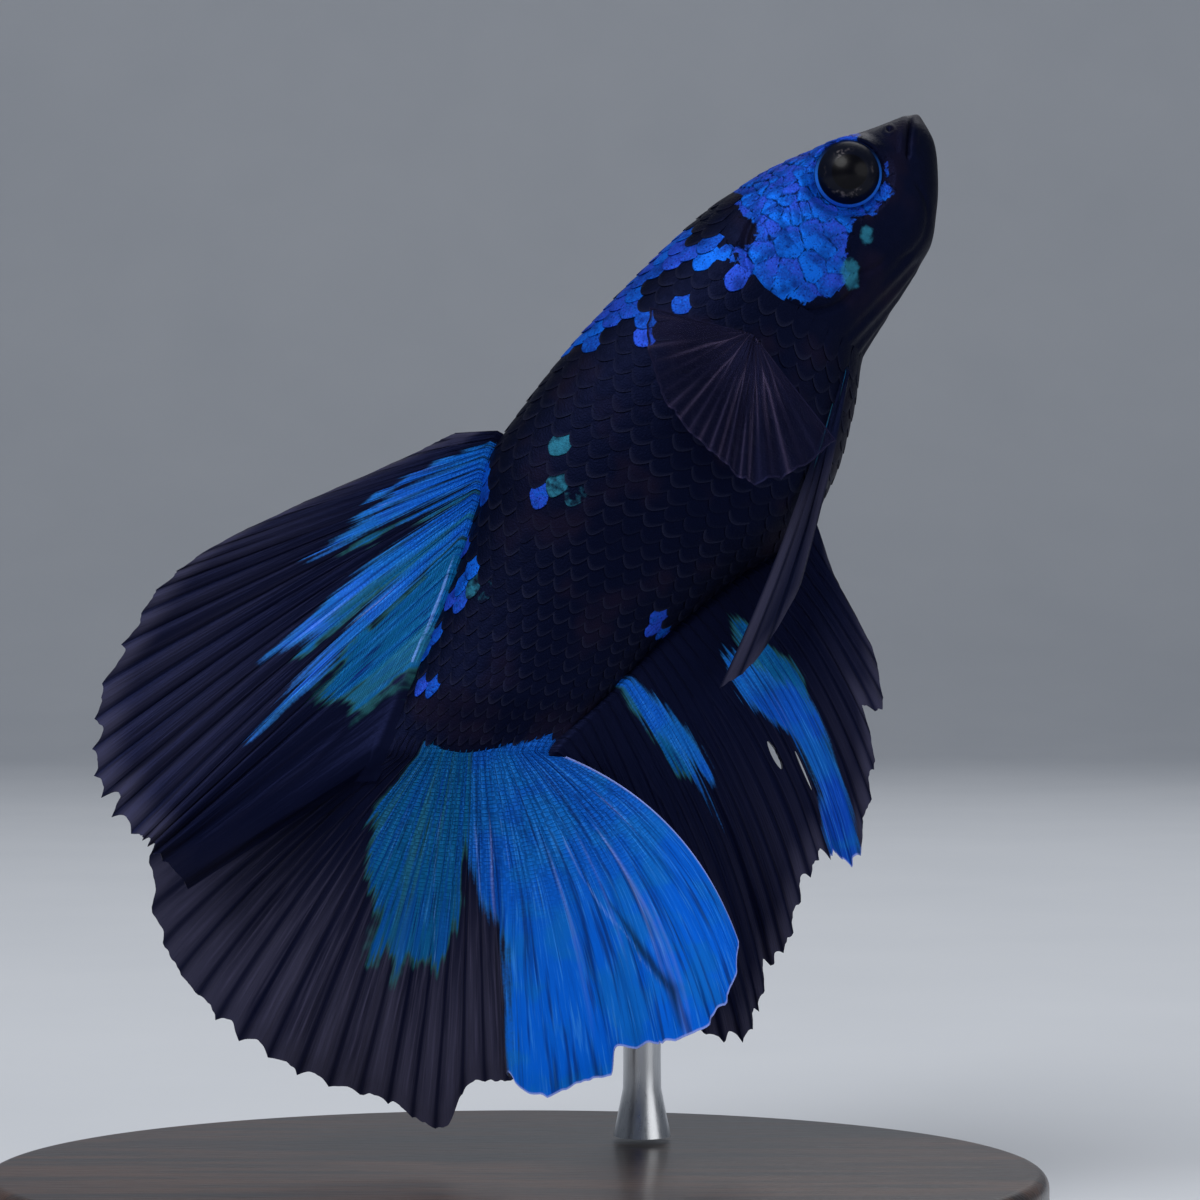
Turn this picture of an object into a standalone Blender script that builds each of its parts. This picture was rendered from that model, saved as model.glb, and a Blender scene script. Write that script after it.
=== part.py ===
"""Male halfmoon betta (Betta splendens), life size, hanging head-up on a small display stand.

The fish is laid out in its own frame, in millimetres: `along` runs from the tail base (0) to the
snout (STANDARD_LENGTH), `up` points to the back, `side` points to the fish's left.  place() pitches
that frame head-up and sets it over the stand.  Everything is written out in metres, +Z up, with the
origin under the middle of the stand.
"""
import math

import bmesh
import bpy
import numpy as np
from mathutils import Vector

# ---------------------------------------------------------------- driving dimensions (mm, degrees)
MM = 0.001
STANDARD_LENGTH = 42.0
PITCH = 55.9                      # the fish climbs this steeply
TAIL_BASE_X = -1.97               # where `along` = 0, `up` = 0 lies in the world
TAIL_BASE_Z = 27.0
GAP = 0.3                         # between neighbouring solids

TAIL_RAKE = 35.0                  # the body's cross-sections lean back towards the hanging tail
RAKE_REACH = 20.0                 # ... starting this far ahead of the tail base
TAIL_SWING = 3.0                  # the tail stalk swings to the fish's right
SWING_REACH = 16.0

# along, back height, belly height, half width, fullness of the cross-section
STATIONS = (
    (0.0, 5.2, -4.2, 1.5, 1.80),      # tail base
    (4.0, 5.8, -4.7, 2.3, 1.85),
    (8.0, 6.5, -5.1, 3.1, 1.90),
    (12.0, 7.6, -5.9, 3.9, 2.00),
    (15.0, 8.6, -6.7, 4.4, 2.05),     # front of the dorsal fin
    (18.0, 8.45, -7.8, 4.75, 2.10),
    (20.5, 8.25, -8.2, 4.9, 2.15),    # vent
    (23.0, 7.9, -7.9, 4.9, 2.20),
    (26.4, 7.3, -6.8, 4.7, 2.20),     # pectoral fins
    (29.8, 6.55, -5.5, 4.4, 2.20),     # nape
    (33.6, 5.35, -5.4, 3.95, 2.25),    # cheeks
    (36.0, 4.1, -5.3, 3.5, 2.30),
    (38.2, 2.6, -4.4, 2.9, 2.30),   # eyes
    (40.0, 1.25, -3.25, 2.15, 2.20),
    (41.2, 0.45, -2.2, 1.35, 2.10),
    (STANDARD_LENGTH, 0.0, -1.0, 0.45, 2.00),
)
HEAD_START = 28.2                 # the body is parted here ...
TRUNK_SPLIT = 18.0
TAIL_STALK_END = 8.0              # ... and here
RING = 24                         # points round a cross-section

EYE_ALONG, EYE_UP, EYE_SIDE = 37.1, 0.8, 2.3
EYE_RADIUS = 1.8
EYE_DEPTH = 1.25                  # half depth of the flattened eyeball

MOUTH_CORNER = (39.3, -1.5)       # along, up
MOUTH_FRONT = (43.0, 0.45)
CHIN_REAR = (37.3, -6.0)

GILL_CENTRE = (31.8, 0.3)
GILL_RADII = (2.9, 3.8)           # along, up
GILL_THICKNESS = 1.0
GILL_SIDES = 24

FIN_THICKNESS = 0.6               # at the margin
FIN_ROOT_THICKNESS = 1.0

BASE_RADII = (29.0, 21.0)
BASE_HEIGHT = 4.0
BASE_BEVEL = 0.8
BASE_SIDES = 48
ROD_RADIUS = 1.1
ROD_FOOT = (7.0, 9.0)             # x, y on the base
ROD_BEND = 4.0                    # radius of the bend into the flank
ROD_TARGET = (15.5, -1.0)         # along, up of the point held on the left flank
ROD_SIDES = 12


# ---------------------------------------------------------------- curves and frames
def smooth(x, knots, values):
    """Monotone cubic through (knots, values), so that no profile overshoots its stations."""
    x = np.clip(np.asarray(x, float), knots[0], knots[-1])
    knots, values = np.asarray(knots, float), np.asarray(values, float)
    step = np.diff(knots)
    slope = np.diff(values) / step
    tangent = np.zeros(len(knots))
    tangent[0], tangent[-1] = slope[0], slope[-1]
    for k in range(1, len(knots) - 1):
        if slope[k - 1] * slope[k] > 0:
            tangent[k] = 2 * slope[k - 1] * slope[k] / (slope[k - 1] + slope[k])
    i = np.clip(np.searchsorted(knots, x, side="right") - 1, 0, len(step) - 1)
    s = (x - knots[i]) / step[i]
    return ((1 + 2 * s) * (1 - s) ** 2 * values[i] + s * (1 - s) ** 2 * step[i] * tangent[i]
            + s * s * (3 - 2 * s) * values[i + 1] - s * s * (1 - s) * step[i] * tangent[i + 1])


def table(rows, x):
    """Every column of a key table, read at x (the first column)."""
    columns = list(zip(*rows))
    return [float(smooth(x, columns[0], column)) for column in columns[1:]]


def rake(along):
    reach = max(0.0, 1.0 - along / RAKE_REACH)
    return math.radians(TAIL_RAKE) * reach ** 1.25


def swing(along):
    """How far the midline lies to the fish's left (negative: to its right)."""
    return -TAIL_SWING * max(0.0, 1.0 - along / SWING_REACH) ** 2


def on_section(along, height, side):
    """A point of the raked cross-section at `along`, in the fish's frame."""
    lean = rake(along)
    return (along - height * math.sin(lean), side + swing(along), height * math.cos(lean))


def skin_point(along, angle, inset=0.0):
    """A point of the body's surface: angle 0 is the left flank, 90 degrees the back."""
    back, belly, half_width, fullness = table(STATIONS, along)
    half_height = max((back - belly) / 2 - inset, 0.2)
    half_width = max(half_width - inset, 0.15)
    power = 2.0 / fullness
    sine, cosine = math.sin(angle), math.cos(angle)
    height = (back + belly) / 2 + half_height * math.copysign(abs(sine) ** power, sine)
    return on_section(along, height, half_width * math.copysign(abs(cosine) ** power, cosine))


def place(point):
    """From the fish's frame in mm to the world in metres."""
    along, side, up = point
    pitch = math.radians(PITCH)
    return Vector((TAIL_BASE_X + along * math.cos(pitch) - up * math.sin(pitch), side,
                   TAIL_BASE_Z + along * math.sin(pitch) + up * math.cos(pitch))) * MM


# ---------------------------------------------------------------- materials and mesh helpers
def material(name, colour, roughness, metallic=0.0):
    made = bpy.data.materials.new(name)
    made.use_nodes = True
    made.diffuse_color = (*colour, 1.0)
    shader = made.node_tree.nodes["Principled BSDF"]
    shader.inputs["Base Color"].default_value = (*colour, 1.0)
    shader.inputs["Roughness"].default_value = roughness
    shader.inputs["Metallic"].default_value = metallic
    return made


def add_object(name, points, faces, finish=None):
    """A smooth-shaded object whose faces all point outwards."""
    work = bmesh.new()
    verts = [work.verts.new(point) for point in points]
    for face in faces:
        work.faces.new([verts[i] for i in face])
    bmesh.ops.recalc_face_normals(work, faces=work.faces)
    mesh = bpy.data.meshes.new(name)
    work.to_mesh(mesh)
    work.free()
    mesh.shade_smooth()
    mesh.set_sharp_from_angle(angle=math.radians(40))
    if finish:
        mesh.materials.append(finish)
    made = bpy.data.objects.new(name, mesh)
    bpy.context.scene.collection.objects.link(made)
    return made


def ring_faces(rings, sides):
    """Quads between successive rings, and a face over each end."""
    faces = [tuple(range(sides))[::-1], tuple(range((rings - 1) * sides, rings * sides))]
    for ring in range(rings - 1):
        for k in range(sides):
            a, b = ring * sides + k, ring * sides + (k + 1) % sides
            faces.append((a, b, b + sides, a + sides))
    return faces


def loft(name, stations, finish=None, inset=0.0):
    """A length of the body, skinned over its cross-sections."""
    points = []
    for along in stations:
        for k in range(RING):
            points.append(place(skin_point(along, 2 * math.pi * k / RING, inset)))
    return add_object(name, points, ring_faces(len(stations), RING), finish)


def prism(name, outline, near, far):
    """The solid between two `side` values over an outline of (along, up) points."""
    points = [place((along, side, up)) for side in (near, far) for along, up in outline]
    return add_object(name, points, ring_faces(2, len(outline)))


def cut(target, cutter, operation="DIFFERENCE"):
    modifier = target.modifiers.new(cutter.name, "BOOLEAN")
    modifier.operation = operation
    modifier.solver = "EXACT"
    modifier.object = cutter
    cutter.hide_render = True
    cutter.display_type = "WIRE"


def ellipse(centre, radii, sides, grow=0.0):
    turn = [2 * math.pi * k / sides for k in range(sides)]
    return [(centre[0] + (radii[0] + grow) * math.cos(a), centre[1] + (radii[1] + grow) * math.sin(a))
            for a in turn]


# ---------------------------------------------------------------- head, trunk and tail stalk
def head_stations():
    """Closer together towards the rounded snout."""
    count = 15
    return [HEAD_START + (STANDARD_LENGTH - HEAD_START) * math.sin(0.5 * math.pi * k / (count - 1))
            for k in range(count)]


def jaw_wedge(name, shrink):
    """The wedge ahead of and below the mouth, seen from the side."""
    corner, front, chin = MOUTH_CORNER, MOUTH_FRONT, CHIN_REAR
    outline = [(corner[0] + shrink * 1.3, corner[1] - shrink * 0.8),
               (front[0], front[1] - shrink * 1.15),
               (front[0] + 1.0, chin[1] - 1.0),
               (chin[0] + shrink * 1.1, chin[1] - 1.0),
               (chin[0] + shrink * 1.1, chin[1])]
    return prism(name, outline, -8.0, 8.0)


def eyeball(name, side, finish=None, grow=0.0):
    """A flattened ball with its poles on the side axis."""
    rings, sides = 8, 16
    points = [place((EYE_ALONG, side * (EYE_SIDE - EYE_DEPTH - grow), EYE_UP))]
    for ring in range(1, rings):
        polar = math.pi * ring / rings
        radius = (EYE_RADIUS + grow) * math.sin(polar)
        depth = (EYE_DEPTH + grow) * math.cos(polar)
        for k in range(sides):
            turn = 2 * math.pi * k / sides
            points.append(place((EYE_ALONG + radius * math.cos(turn), side * (EYE_SIDE - depth),
                                 EYE_UP + radius * math.sin(turn))))
    points.append(place((EYE_ALONG, side * (EYE_SIDE + EYE_DEPTH + grow), EYE_UP)))
    last = len(points) - 1
    faces = []
    for k in range(sides):
        after = (k + 1) % sides
        faces.append((0, 1 + k, 1 + after))
        faces.append((last, last - sides + after, last - sides + k))
        for ring in range(rings - 2):
            a, b = 1 + ring * sides + k, 1 + ring * sides + after
            faces.append((a, b, b + sides, a + sides))
    return add_object(name, points, faces, finish)


def make_body(flesh, plate, jaw_finish, eye_finish):
    inner = [loft("cut_inner_pocket", head_stations(), inset=GILL_THICKNESS + GAP),
             loft("cut_inner_cover", head_stations(), inset=GILL_THICKNESS)]
    head = loft("head", head_stations(), flesh)
    jaw = loft("lower_jaw", head_stations(), jaw_finish)
    cut(head, jaw_wedge("cut_mouth", 0.0))
    cut(jaw, jaw_wedge("cut_jaw", GAP), "INTERSECT")
    for name, side in (("left", 1), ("right", -1)):
        eyeball("eye_" + name, side, eye_finish)
        cut(head, eyeball("cut_socket_" + name, side, grow=GAP))
        near, far = side * 1.2, side * 7.0
        pocket = prism("cut_pocket_" + name, ellipse(GILL_CENTRE, GILL_RADII, GILL_SIDES, GAP), near, far)
        cut(pocket, inner[0])
        cut(head, pocket)
        cover = loft("gill_cover_" + name, head_stations(), plate)
        cut(cover, prism("cut_cover_" + name, ellipse(GILL_CENTRE, GILL_RADII, GILL_SIDES), near, far),
            "INTERSECT")
        cut(cover, inner[1])
    half = GAP / 2
    loft("trunk_front", np.linspace(TRUNK_SPLIT + half, HEAD_START - GAP, 9), flesh)
    loft("trunk_rear", np.linspace(TAIL_STALK_END + half, TRUNK_SPLIT - half, 9), flesh)
    loft("tail_stalk", np.linspace(0.0, TAIL_STALK_END - half, 8), flesh)


# ---------------------------------------------------------------- fins
def ray_point(root, heading, length, bow, reach):
    """A point on a ray: heading 0 runs straight back, 90 degrees towards the back of the fish."""
    back, up = -math.cos(math.radians(heading)), math.sin(math.radians(heading))
    arch = 4 * bow * length * reach * (1 - reach)
    return (root[0] + length * reach * back + arch * up, root[2] + length * reach * up - arch * back)


def fin(name, finish, root_at, keys, rays, rows, tears=(), bulge=0.0, ripple=(0.0, 0.0, 0.0)):
    """A fan of rays as one thick sheet.

    root_at(t) is where a ray leaves the body; each key row is t, heading, length, the sideways place
    of the ray's tip, the ray's bow, and how deep the margin is cut in between the rays.  It is torn
    in further at each tear (t, width, depth).  Half way out the sheet stands `bulge` mm further from
    the midline, and it ripples by (height, waves, phase).
    """
    columns = 2 * rays + 1
    near, far = [], []
    for i in range(columns):
        t = i / (columns - 1)
        root = root_at(t)
        heading, length, tip_side, bow, notch = table(keys, t)
        length -= sum(depth * max(0.0, 1 - abs(t - at) / width) for at, width, depth in tears)
        length -= notch * (1 - i % 2)
        for j in range(rows + 1):
            reach = j / rows
            along, up = ray_point(root, heading, length, bow, reach)
            side = root[1] + (tip_side - root[1]) * reach ** 1.1 + 4 * bulge * reach * (1 - reach)
            side += ripple[0] * reach ** 2 * math.sin(2 * math.pi * (ripple[1] * t + ripple[2]))
            half = (FIN_ROOT_THICKNESS + (FIN_THICKNESS - FIN_ROOT_THICKNESS) * math.sqrt(reach)) / 2
            near.append(place((along, side - half, up)))
            far.append(place((along, side + half, up)))
    across = rows + 1
    count = columns * across
    faces = []
    for i in range(columns - 1):
        for j in range(rows):
            a, b = i * across + j, (i + 1) * across + j
            faces.append((a, b, b + 1, a + 1))
            faces.append((count + a + 1, count + b + 1, count + b, count + a))
    rim = [i * across for i in range(columns)]
    rim += [(columns - 1) * across + j for j in range(1, across)]
    rim += [i * across + rows for i in range(columns - 2, -1, -1)]
    rim += list(range(rows - 1, 0, -1))
    for a, b in zip(rim, rim[1:] + rim[:1]):
        faces.append((a, b, count + b, count + a))
    return add_object(name, near + far, faces, finish)


def along_back(front, rear):
    """Roots in a line on the back, GAP clear of it."""
    def root_at(t):
        along = front + (rear - front) * t
        return on_section(along, table(STATIONS, along)[0] + GAP, 0.0)
    return root_at


def along_belly(front, rear):
    def root_at(t):
        along = front + (rear - front) * t
        return on_section(along, table(STATIONS, along)[1] - GAP, 0.0)
    return root_at


def across_tail(t):
    back, belly = table(STATIONS, 0.0)[:2]
    root = on_section(0.0, back + (belly - back) * t, 0.0)
    return (root[0] - GAP, root[1], root[2])


def short_root(along, up, side, width):
    """A short upright root of the given width."""
    def root_at(t):
        return (along, side, up + width * (0.5 - t))
    return root_at


# t, heading, length, side of the tip, bow (negative: towards the head), notch between the rays
DORSAL_RAYS = (
    (0.00, 53.0, 2.4, -0.3, 0.00, 0.1),
    (0.12, 53.5, 4.6, -0.6, 0.00, 0.3),
    (0.25, 53.5, 8.3, -1.2, 0.01, 0.4),
    (0.50, 51.5, 14.8, -2.8, 0.02, 0.6),
    (0.70, 44.5, 17.6, -4.4, 0.02, 0.9),
    (0.87, 34.0, 19.0, -5.6, 0.02, 1.2),
    (1.00, 18.0, 17.4, -6.2, -0.05, 1.2),
)
ANAL_RAYS = (
    (0.00, -52.0, 2.6, 0.0, 0.00, 0.1),
    (0.07, -69.0, 6.8, -0.1, 0.00, 0.2),
    (0.15, -66.0, 10.4, -0.4, -0.02, 0.4),
    (0.27, -64.0, 13.2, -0.8, -0.05, 0.4),
    (0.40, -61.0, 16.6, -0.6, -0.06, 0.5),
    (0.54, -63.5, 14.9, 0.4, -0.06, 0.6),
    (0.68, -59.3, 17.6, 1.2, -0.05, 0.9),
    (0.80, -56.8, 19.2, 1.5, -0.05, 0.8),
    (0.90, -56.2, 20.5, 1.6, -0.04, 0.8),
    (1.00, -54.5, 18.6, 1.4, -0.03, 0.6),
)
CAUDAL_RAYS = (
    (0.00, 42.0, 13.0, 1.2, 0.03, 0.4),
    (0.08, 21.5, 16.4, 0.8, 0.03, 0.4),
    (0.25, -1.5, 18.8, 0.0, 0.02, 0.5),
    (0.43, -23.5, 19.9, -0.9, 0.00, 0.5),
    (0.52, -31.0, 20.6, -1.3, 0.00, 0.5),
    (0.58, -36.0, 17.9, -2.0, 0.00, 0.5),
    (0.63, -40.0, 18.0, -4.6, -0.01, 0.4),
    (0.69, -45.0, 18.6, -5.8, -0.02, 0.4),
    (0.78, -55.5, 16.8, -6.4, -0.05, 0.4),
    (0.87, -64.5, 17.2, -6.8, -0.08, 0.4),
    (0.94, -72.0, 16.4, -6.6, -0.10, 0.4),
    (1.00, -79.0, 14.2, -6.2, -0.12, 0.3),
)
PECTORAL_RAYS = (
    (0.00, 66.0, 6.4, 6.2, 0.00, 0.1),
    (0.25, 26.0, 6.9, 7.0, 0.00, 0.2),
    (0.50, -7.0, 7.5, 7.4, 0.00, 0.2),
    (0.75, -26.0, 8.1, 7.2, 0.00, 0.2),
    (1.00, -61.0, 6.0, 6.2, 0.00, 0.1),
)
PELVIC_RAYS = (
    (0.00, -12.0, 18.8, 2.6, -0.06, 0.0),
    (0.50, -15.0, 17.0, 2.8, -0.06, 0.0),
    (1.00, -19.5, 12.0, 3.2, -0.05, 0.0),
)


def sided(keys, side, turn=0.0):
    """The same fan for either side of the body, its headings turned by `turn`."""
    return [(t, heading + turn, length, side * tip, bow, notch)
            for t, heading, length, tip, bow, notch in keys]


def make_fins(dark, clear, blade):
    fin("dorsal_fin", dark, along_back(15.6, 4.7), DORSAL_RAYS, rays=19, rows=5,
        ripple=(0.5, 2.0, 0.1))
    fin("anal_fin", dark, along_belly(20.3, 2.0), ANAL_RAYS, rays=24, rows=5,
        tears=((0.19, 0.045, 2.0), (0.33, 0.02, 0.6), (0.46, 0.02, 0.9), (0.76, 0.02, 0.9)),
        ripple=(0.4, 2.5, 0.2))
    fin("caudal_fin", dark, across_tail, CAUDAL_RAYS, rays=28, rows=6,
        tears=((0.55, 0.02, 1.0), (0.76, 0.02, 1.0)), ripple=(0.5, 3.0, 0.0))
    for name, side in (("left", 1), ("right", -1)):
        lower = -22.0 if side > 0 else 0.0
        fin("pectoral_fin_" + name, clear, short_root(27.1, -0.8, side * 5.4, 1.4),
            sided(PECTORAL_RAYS, side, lower), rays=11, rows=3)
        fin("pelvic_fin_" + name, blade, short_root(28.0, -5.6, side * 3.7, 1.0),
            sided(PELVIC_RAYS, side), rays=2, rows=9, bulge=side * 0.8)


# ---------------------------------------------------------------- display stand
def make_base(finish):
    """A flat oval disc with a rounded upper edge."""
    levels = [(0.0, 0.0), (0.0, BASE_HEIGHT - BASE_BEVEL)]
    levels += [(BASE_BEVEL * (1 - math.cos(a)), BASE_HEIGHT - BASE_BEVEL * (1 - math.sin(a)))
               for a in (math.pi / 6, math.pi / 3, math.pi / 2)]
    points = []
    for inset, height in levels:
        for x, y in ellipse((0.0, 0.0), BASE_RADII, BASE_SIDES, -inset):
            points.append(Vector((x, y, height)) * MM)
    return add_object("stand_base", points, ring_faces(len(levels), BASE_SIDES), finish)


def tube(name, path, radius, sides, finish):
    """A round bar along a path in the plane x = constant."""
    points = []
    for k, (x, y, z) in enumerate(path):
        before, after = path[max(k - 1, 0)], path[min(k + 1, len(path) - 1)]
        heading = math.atan2(after[2] - before[2], after[1] - before[1])
        for i in range(sides):
            turn = 2 * math.pi * i / sides
            points.append(Vector((x + radius * math.cos(turn),
                                  y - radius * math.sin(turn) * math.sin(heading),
                                  z + radius * math.sin(turn) * math.cos(heading))) * MM)
    return add_object(name, points, ring_faces(len(path), sides), finish)


def make_stand(wood, metal):
    make_base(wood)
    along, up = ROD_TARGET
    target = place((along, 0.0, up)) / MM
    width = max(skin_point(along, 2 * math.pi * k / RING)[1] for k in range(RING))
    x, y = ROD_FOOT[0], ROD_FOOT[1]
    top = target.z
    path = [(x, y, BASE_HEIGHT + GAP)]
    path += [(x, y - ROD_BEND * (1 - math.cos(a)), top - ROD_BEND + ROD_BEND * math.sin(a))
             for a in (0.5 * math.pi * k / 6 for k in range(7))]
    path.append((x, width + GAP, top))
    tube("stand_rod", path, ROD_RADIUS, ROD_SIDES, metal)


def main():
    for old in list(bpy.data.objects):
        bpy.data.objects.remove(old, do_unlink=True)
    flesh = material("black_scales", (0.012, 0.013, 0.03), 0.4)
    plate = material("blue_cheek", (0.02, 0.09, 0.45), 0.35, 0.3)
    jaw_finish = material("black_skin", (0.01, 0.012, 0.022), 0.45)
    eye_finish = material("eye_black", (0.004, 0.004, 0.006), 0.1)
    dark = material("fin_blue_black", (0.01, 0.05, 0.2), 0.4, 0.2)
    clear = material("fin_smoky", (0.06, 0.06, 0.11), 0.4)
    blade = material("fin_blade", (0.02, 0.05, 0.08), 0.4)
    wood = material("stand_wood", (0.55, 0.42, 0.28), 0.5)
    metal = material("stand_steel", (0.6, 0.6, 0.62), 0.3, 1.0)
    make_body(flesh, plate, jaw_finish, eye_finish)
    make_fins(dark, clear, blade)
    make_stand(wood, metal)


main()
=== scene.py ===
"""The looks of a male halfmoon betta, life size, on a small display stand.

One skin stands for the head, jaw, gill covers, trunk and tail stalk, with scales lying over it as
solid meshes.  The eyes, the fins and the stand are pieces of their own.

Shapes are worked out in the fish's own frame, in millimetres: `along` runs from the tail base to the
snout, `side` to the fish's left and `up` to its back.  place() turns that into the world, in metres.
"""
import math

import bpy
import numpy as np
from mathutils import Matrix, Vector


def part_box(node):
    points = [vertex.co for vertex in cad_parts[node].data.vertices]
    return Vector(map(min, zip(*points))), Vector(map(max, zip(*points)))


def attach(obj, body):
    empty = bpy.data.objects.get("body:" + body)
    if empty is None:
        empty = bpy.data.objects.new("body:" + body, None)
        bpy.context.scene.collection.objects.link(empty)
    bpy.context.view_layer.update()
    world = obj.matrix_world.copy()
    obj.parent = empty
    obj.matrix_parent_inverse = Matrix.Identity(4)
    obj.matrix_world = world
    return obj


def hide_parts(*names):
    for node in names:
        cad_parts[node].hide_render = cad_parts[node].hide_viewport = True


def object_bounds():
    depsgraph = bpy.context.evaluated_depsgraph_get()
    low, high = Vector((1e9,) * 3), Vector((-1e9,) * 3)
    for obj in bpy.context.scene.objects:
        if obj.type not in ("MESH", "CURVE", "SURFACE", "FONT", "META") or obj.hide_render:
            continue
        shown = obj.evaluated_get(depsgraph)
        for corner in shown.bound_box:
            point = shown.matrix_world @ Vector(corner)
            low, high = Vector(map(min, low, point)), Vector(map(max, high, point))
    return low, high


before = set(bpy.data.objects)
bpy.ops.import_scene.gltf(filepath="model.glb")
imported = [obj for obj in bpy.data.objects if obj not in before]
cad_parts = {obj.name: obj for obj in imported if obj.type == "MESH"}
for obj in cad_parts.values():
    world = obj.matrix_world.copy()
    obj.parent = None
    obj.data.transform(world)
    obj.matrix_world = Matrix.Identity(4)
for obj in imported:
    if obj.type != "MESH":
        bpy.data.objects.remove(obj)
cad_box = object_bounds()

scene = bpy.context.scene

# ---------------- driving dimensions, in mm
MM = 0.001
SIDES = (("right", -1), ("left", 1))
STANDARD_LENGTH = 42
PITCH = math.radians(55.9)
TAIL_BASE = (-1.97, 27)  # x, z
TAIL_RAKE, RAKE_REACH = math.radians(35), 20
TAIL_SWING, SWING_REACH = 3, 16

# along, back, belly, half width, fullness of the section
STATIONS = (
    (0, 5.2, -4.2, 1.5, 1.8), (4, 5.8, -4.7, 2.3, 1.85), (8, 6.5, -5.1, 3.1, 1.9),
    (12, 7.6, -5.9, 3.9, 2), (15, 8.6, -6.7, 4.4, 2.05), (18, 8.45, -7.8, 4.75, 2.1),
    (20.5, 8.25, -8.2, 4.9, 2.15), (23, 7.9, -7.9, 4.9, 2.2), (26.4, 7.3, -6.8, 4.7, 2.2),
    (29.8, 6.55, -5.5, 4.4, 2.2), (33.6, 5.35, -5.4, 3.95, 2.25), (36, 4.1, -5.3, 3.5, 2.3),
    (38.2, 2.6, -4.4, 2.9, 2.3), (40, 1.25, -3.25, 2.15, 2.2), (41.2, 0.45, -2.2, 1.35, 2.1),
    (STANDARD_LENGTH, 0, -1, 0.45, 2),
)
COAT_DEPTH = 0.16  # how far the skin lies inside the solids
SNOUT_ROUNDING = 40.8  # the section shrinks to a point from here on
SNOUT_CAP = 1.15  # over this length
TAIL_THIN = 0.14  # the share of its width that the body keeps at the tail's very end
SHARP_EDGE = math.radians(48)  # edges that turn more than this are not smoothed

EYE = (36.75, 0.82)  # along, up
EYE_RADIUS = 1.85  # of the part that shows
EYE_BALL = 2
EYE_DEPTH = 1.68  # side of the ball's centre
EYE_LENS = 0.1  # how far the pupil bulges
EYE_DOWN = (-0.83, -0.56)  # along, up of the way the bright part of the iris's rim faces

GILL = (31.75, 0.35)  # centre of the gill cover
GILL_RADII = (2.85, 3.1)
CHEEK_RIM = (34.1, -0.2)  # centre of the preopercle's rim
CHEEK_RADII = (2.4, 3.2)
JAW_FOLD = (35.9, -1.9)  # centre of the fold's arc
MOUTH_CORNER = (39.35, -1.35)
MOUTH_TIP = (42.3, -0.1)
NOSTRIL = (40.15, 0.35)
PLATE_SIZE = 0.8  # of the plates on the crown and cheek

SCALE_ROWS = 38
FIRST_ROW = 0.9  # along
SCALE_PITCH = 0.86  # between rows, along the body
SCALE_COLUMNS = 32  # round the body
SCALE_LENGTH = 1.55
SCALE_THICKNESS = 0.04
SCALE_ROUNDING = 0.36  # how far back its corners lie, as a share of its length
SCALE_AHEAD = 0.55  # of its length lies ahead of its row's middle
SCALE_UNEVEN = 0.06  # how much one scale differs from the next in size
NO_CRACK = 0.3  # far enough from a crack to show none


# ---------------- curves and frames
def smooth(x, knots, values):
    """Monotone cubic through (knots, values)."""
    x = np.clip(np.asarray(x, float), knots[0], knots[-1])
    knots, values = np.asarray(knots, float), np.asarray(values, float)
    step = np.diff(knots)
    slope = np.diff(values) / step
    tangent = np.zeros(len(knots))
    tangent[0], tangent[-1] = slope[0], slope[-1]
    for k in range(1, len(knots) - 1):
        if slope[k - 1] * slope[k] > 0:
            tangent[k] = 2 * slope[k - 1] * slope[k] / (slope[k - 1] + slope[k])
    i = np.clip(np.searchsorted(knots, x, side="right") - 1, 0, len(step) - 1)
    s = (x - knots[i]) / step[i]
    return ((1 + 2 * s) * (1 - s) ** 2 * values[i] + s * (1 - s) ** 2 * step[i] * tangent[i] + s * s
        * (3 - 2 * s) * values[i + 1] - s * s * (1 - s) * step[i] * tangent[i + 1])


def table(rows, x):
    """The columns of a key table, read at x (its first column)."""
    columns = list(zip(*rows))
    return [smooth(x, columns[0], column) for column in columns[1:]]


def ease(low, high, x):
    """0 below `low`, 1 above `high`, smooth in between."""
    s = np.clip((np.asarray(x, float) - low) / (high - low), 0, 1)
    return s * s * (3 - 2 * s)


def bell(x, width):
    return np.exp(-(np.asarray(x) / width) ** 2)


def unit(vectors):
    return vectors / np.maximum(np.linalg.norm(vectors, axis=-1, keepdims=True), 1e-9)


def turns(count):
    """Angles at even steps all the way round."""
    return 2 * math.pi * np.arange(count) / count


def away(along, up, spot, radii=(1, 1)):
    """Distance from a spot on the flank, in mm, or as a share of an oval's radii."""
    return np.hypot((along - spot[0]) / radii[0], (up - spot[1]) / radii[1])


def rake(along):
    return TAIL_RAKE * np.clip(1 - along / RAKE_REACH, 0, 1) ** 1.25


def swing(along):
    """How far the midline lies to the fish's left."""
    return -TAIL_SWING * np.clip(1 - along / SWING_REACH, 0, 1) ** 2


def on_section(along, height, side):
    """A point of the raked cross-section at `along`, in the fish's frame."""
    lean = rake(along)
    return np.stack(np.broadcast_arrays(along - height * np.sin(lean), side + swing(along),
        height * np.cos(lean)), -1)


def signed_power(x, power):
    return np.sign(x) * np.abs(x) ** power


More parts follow.
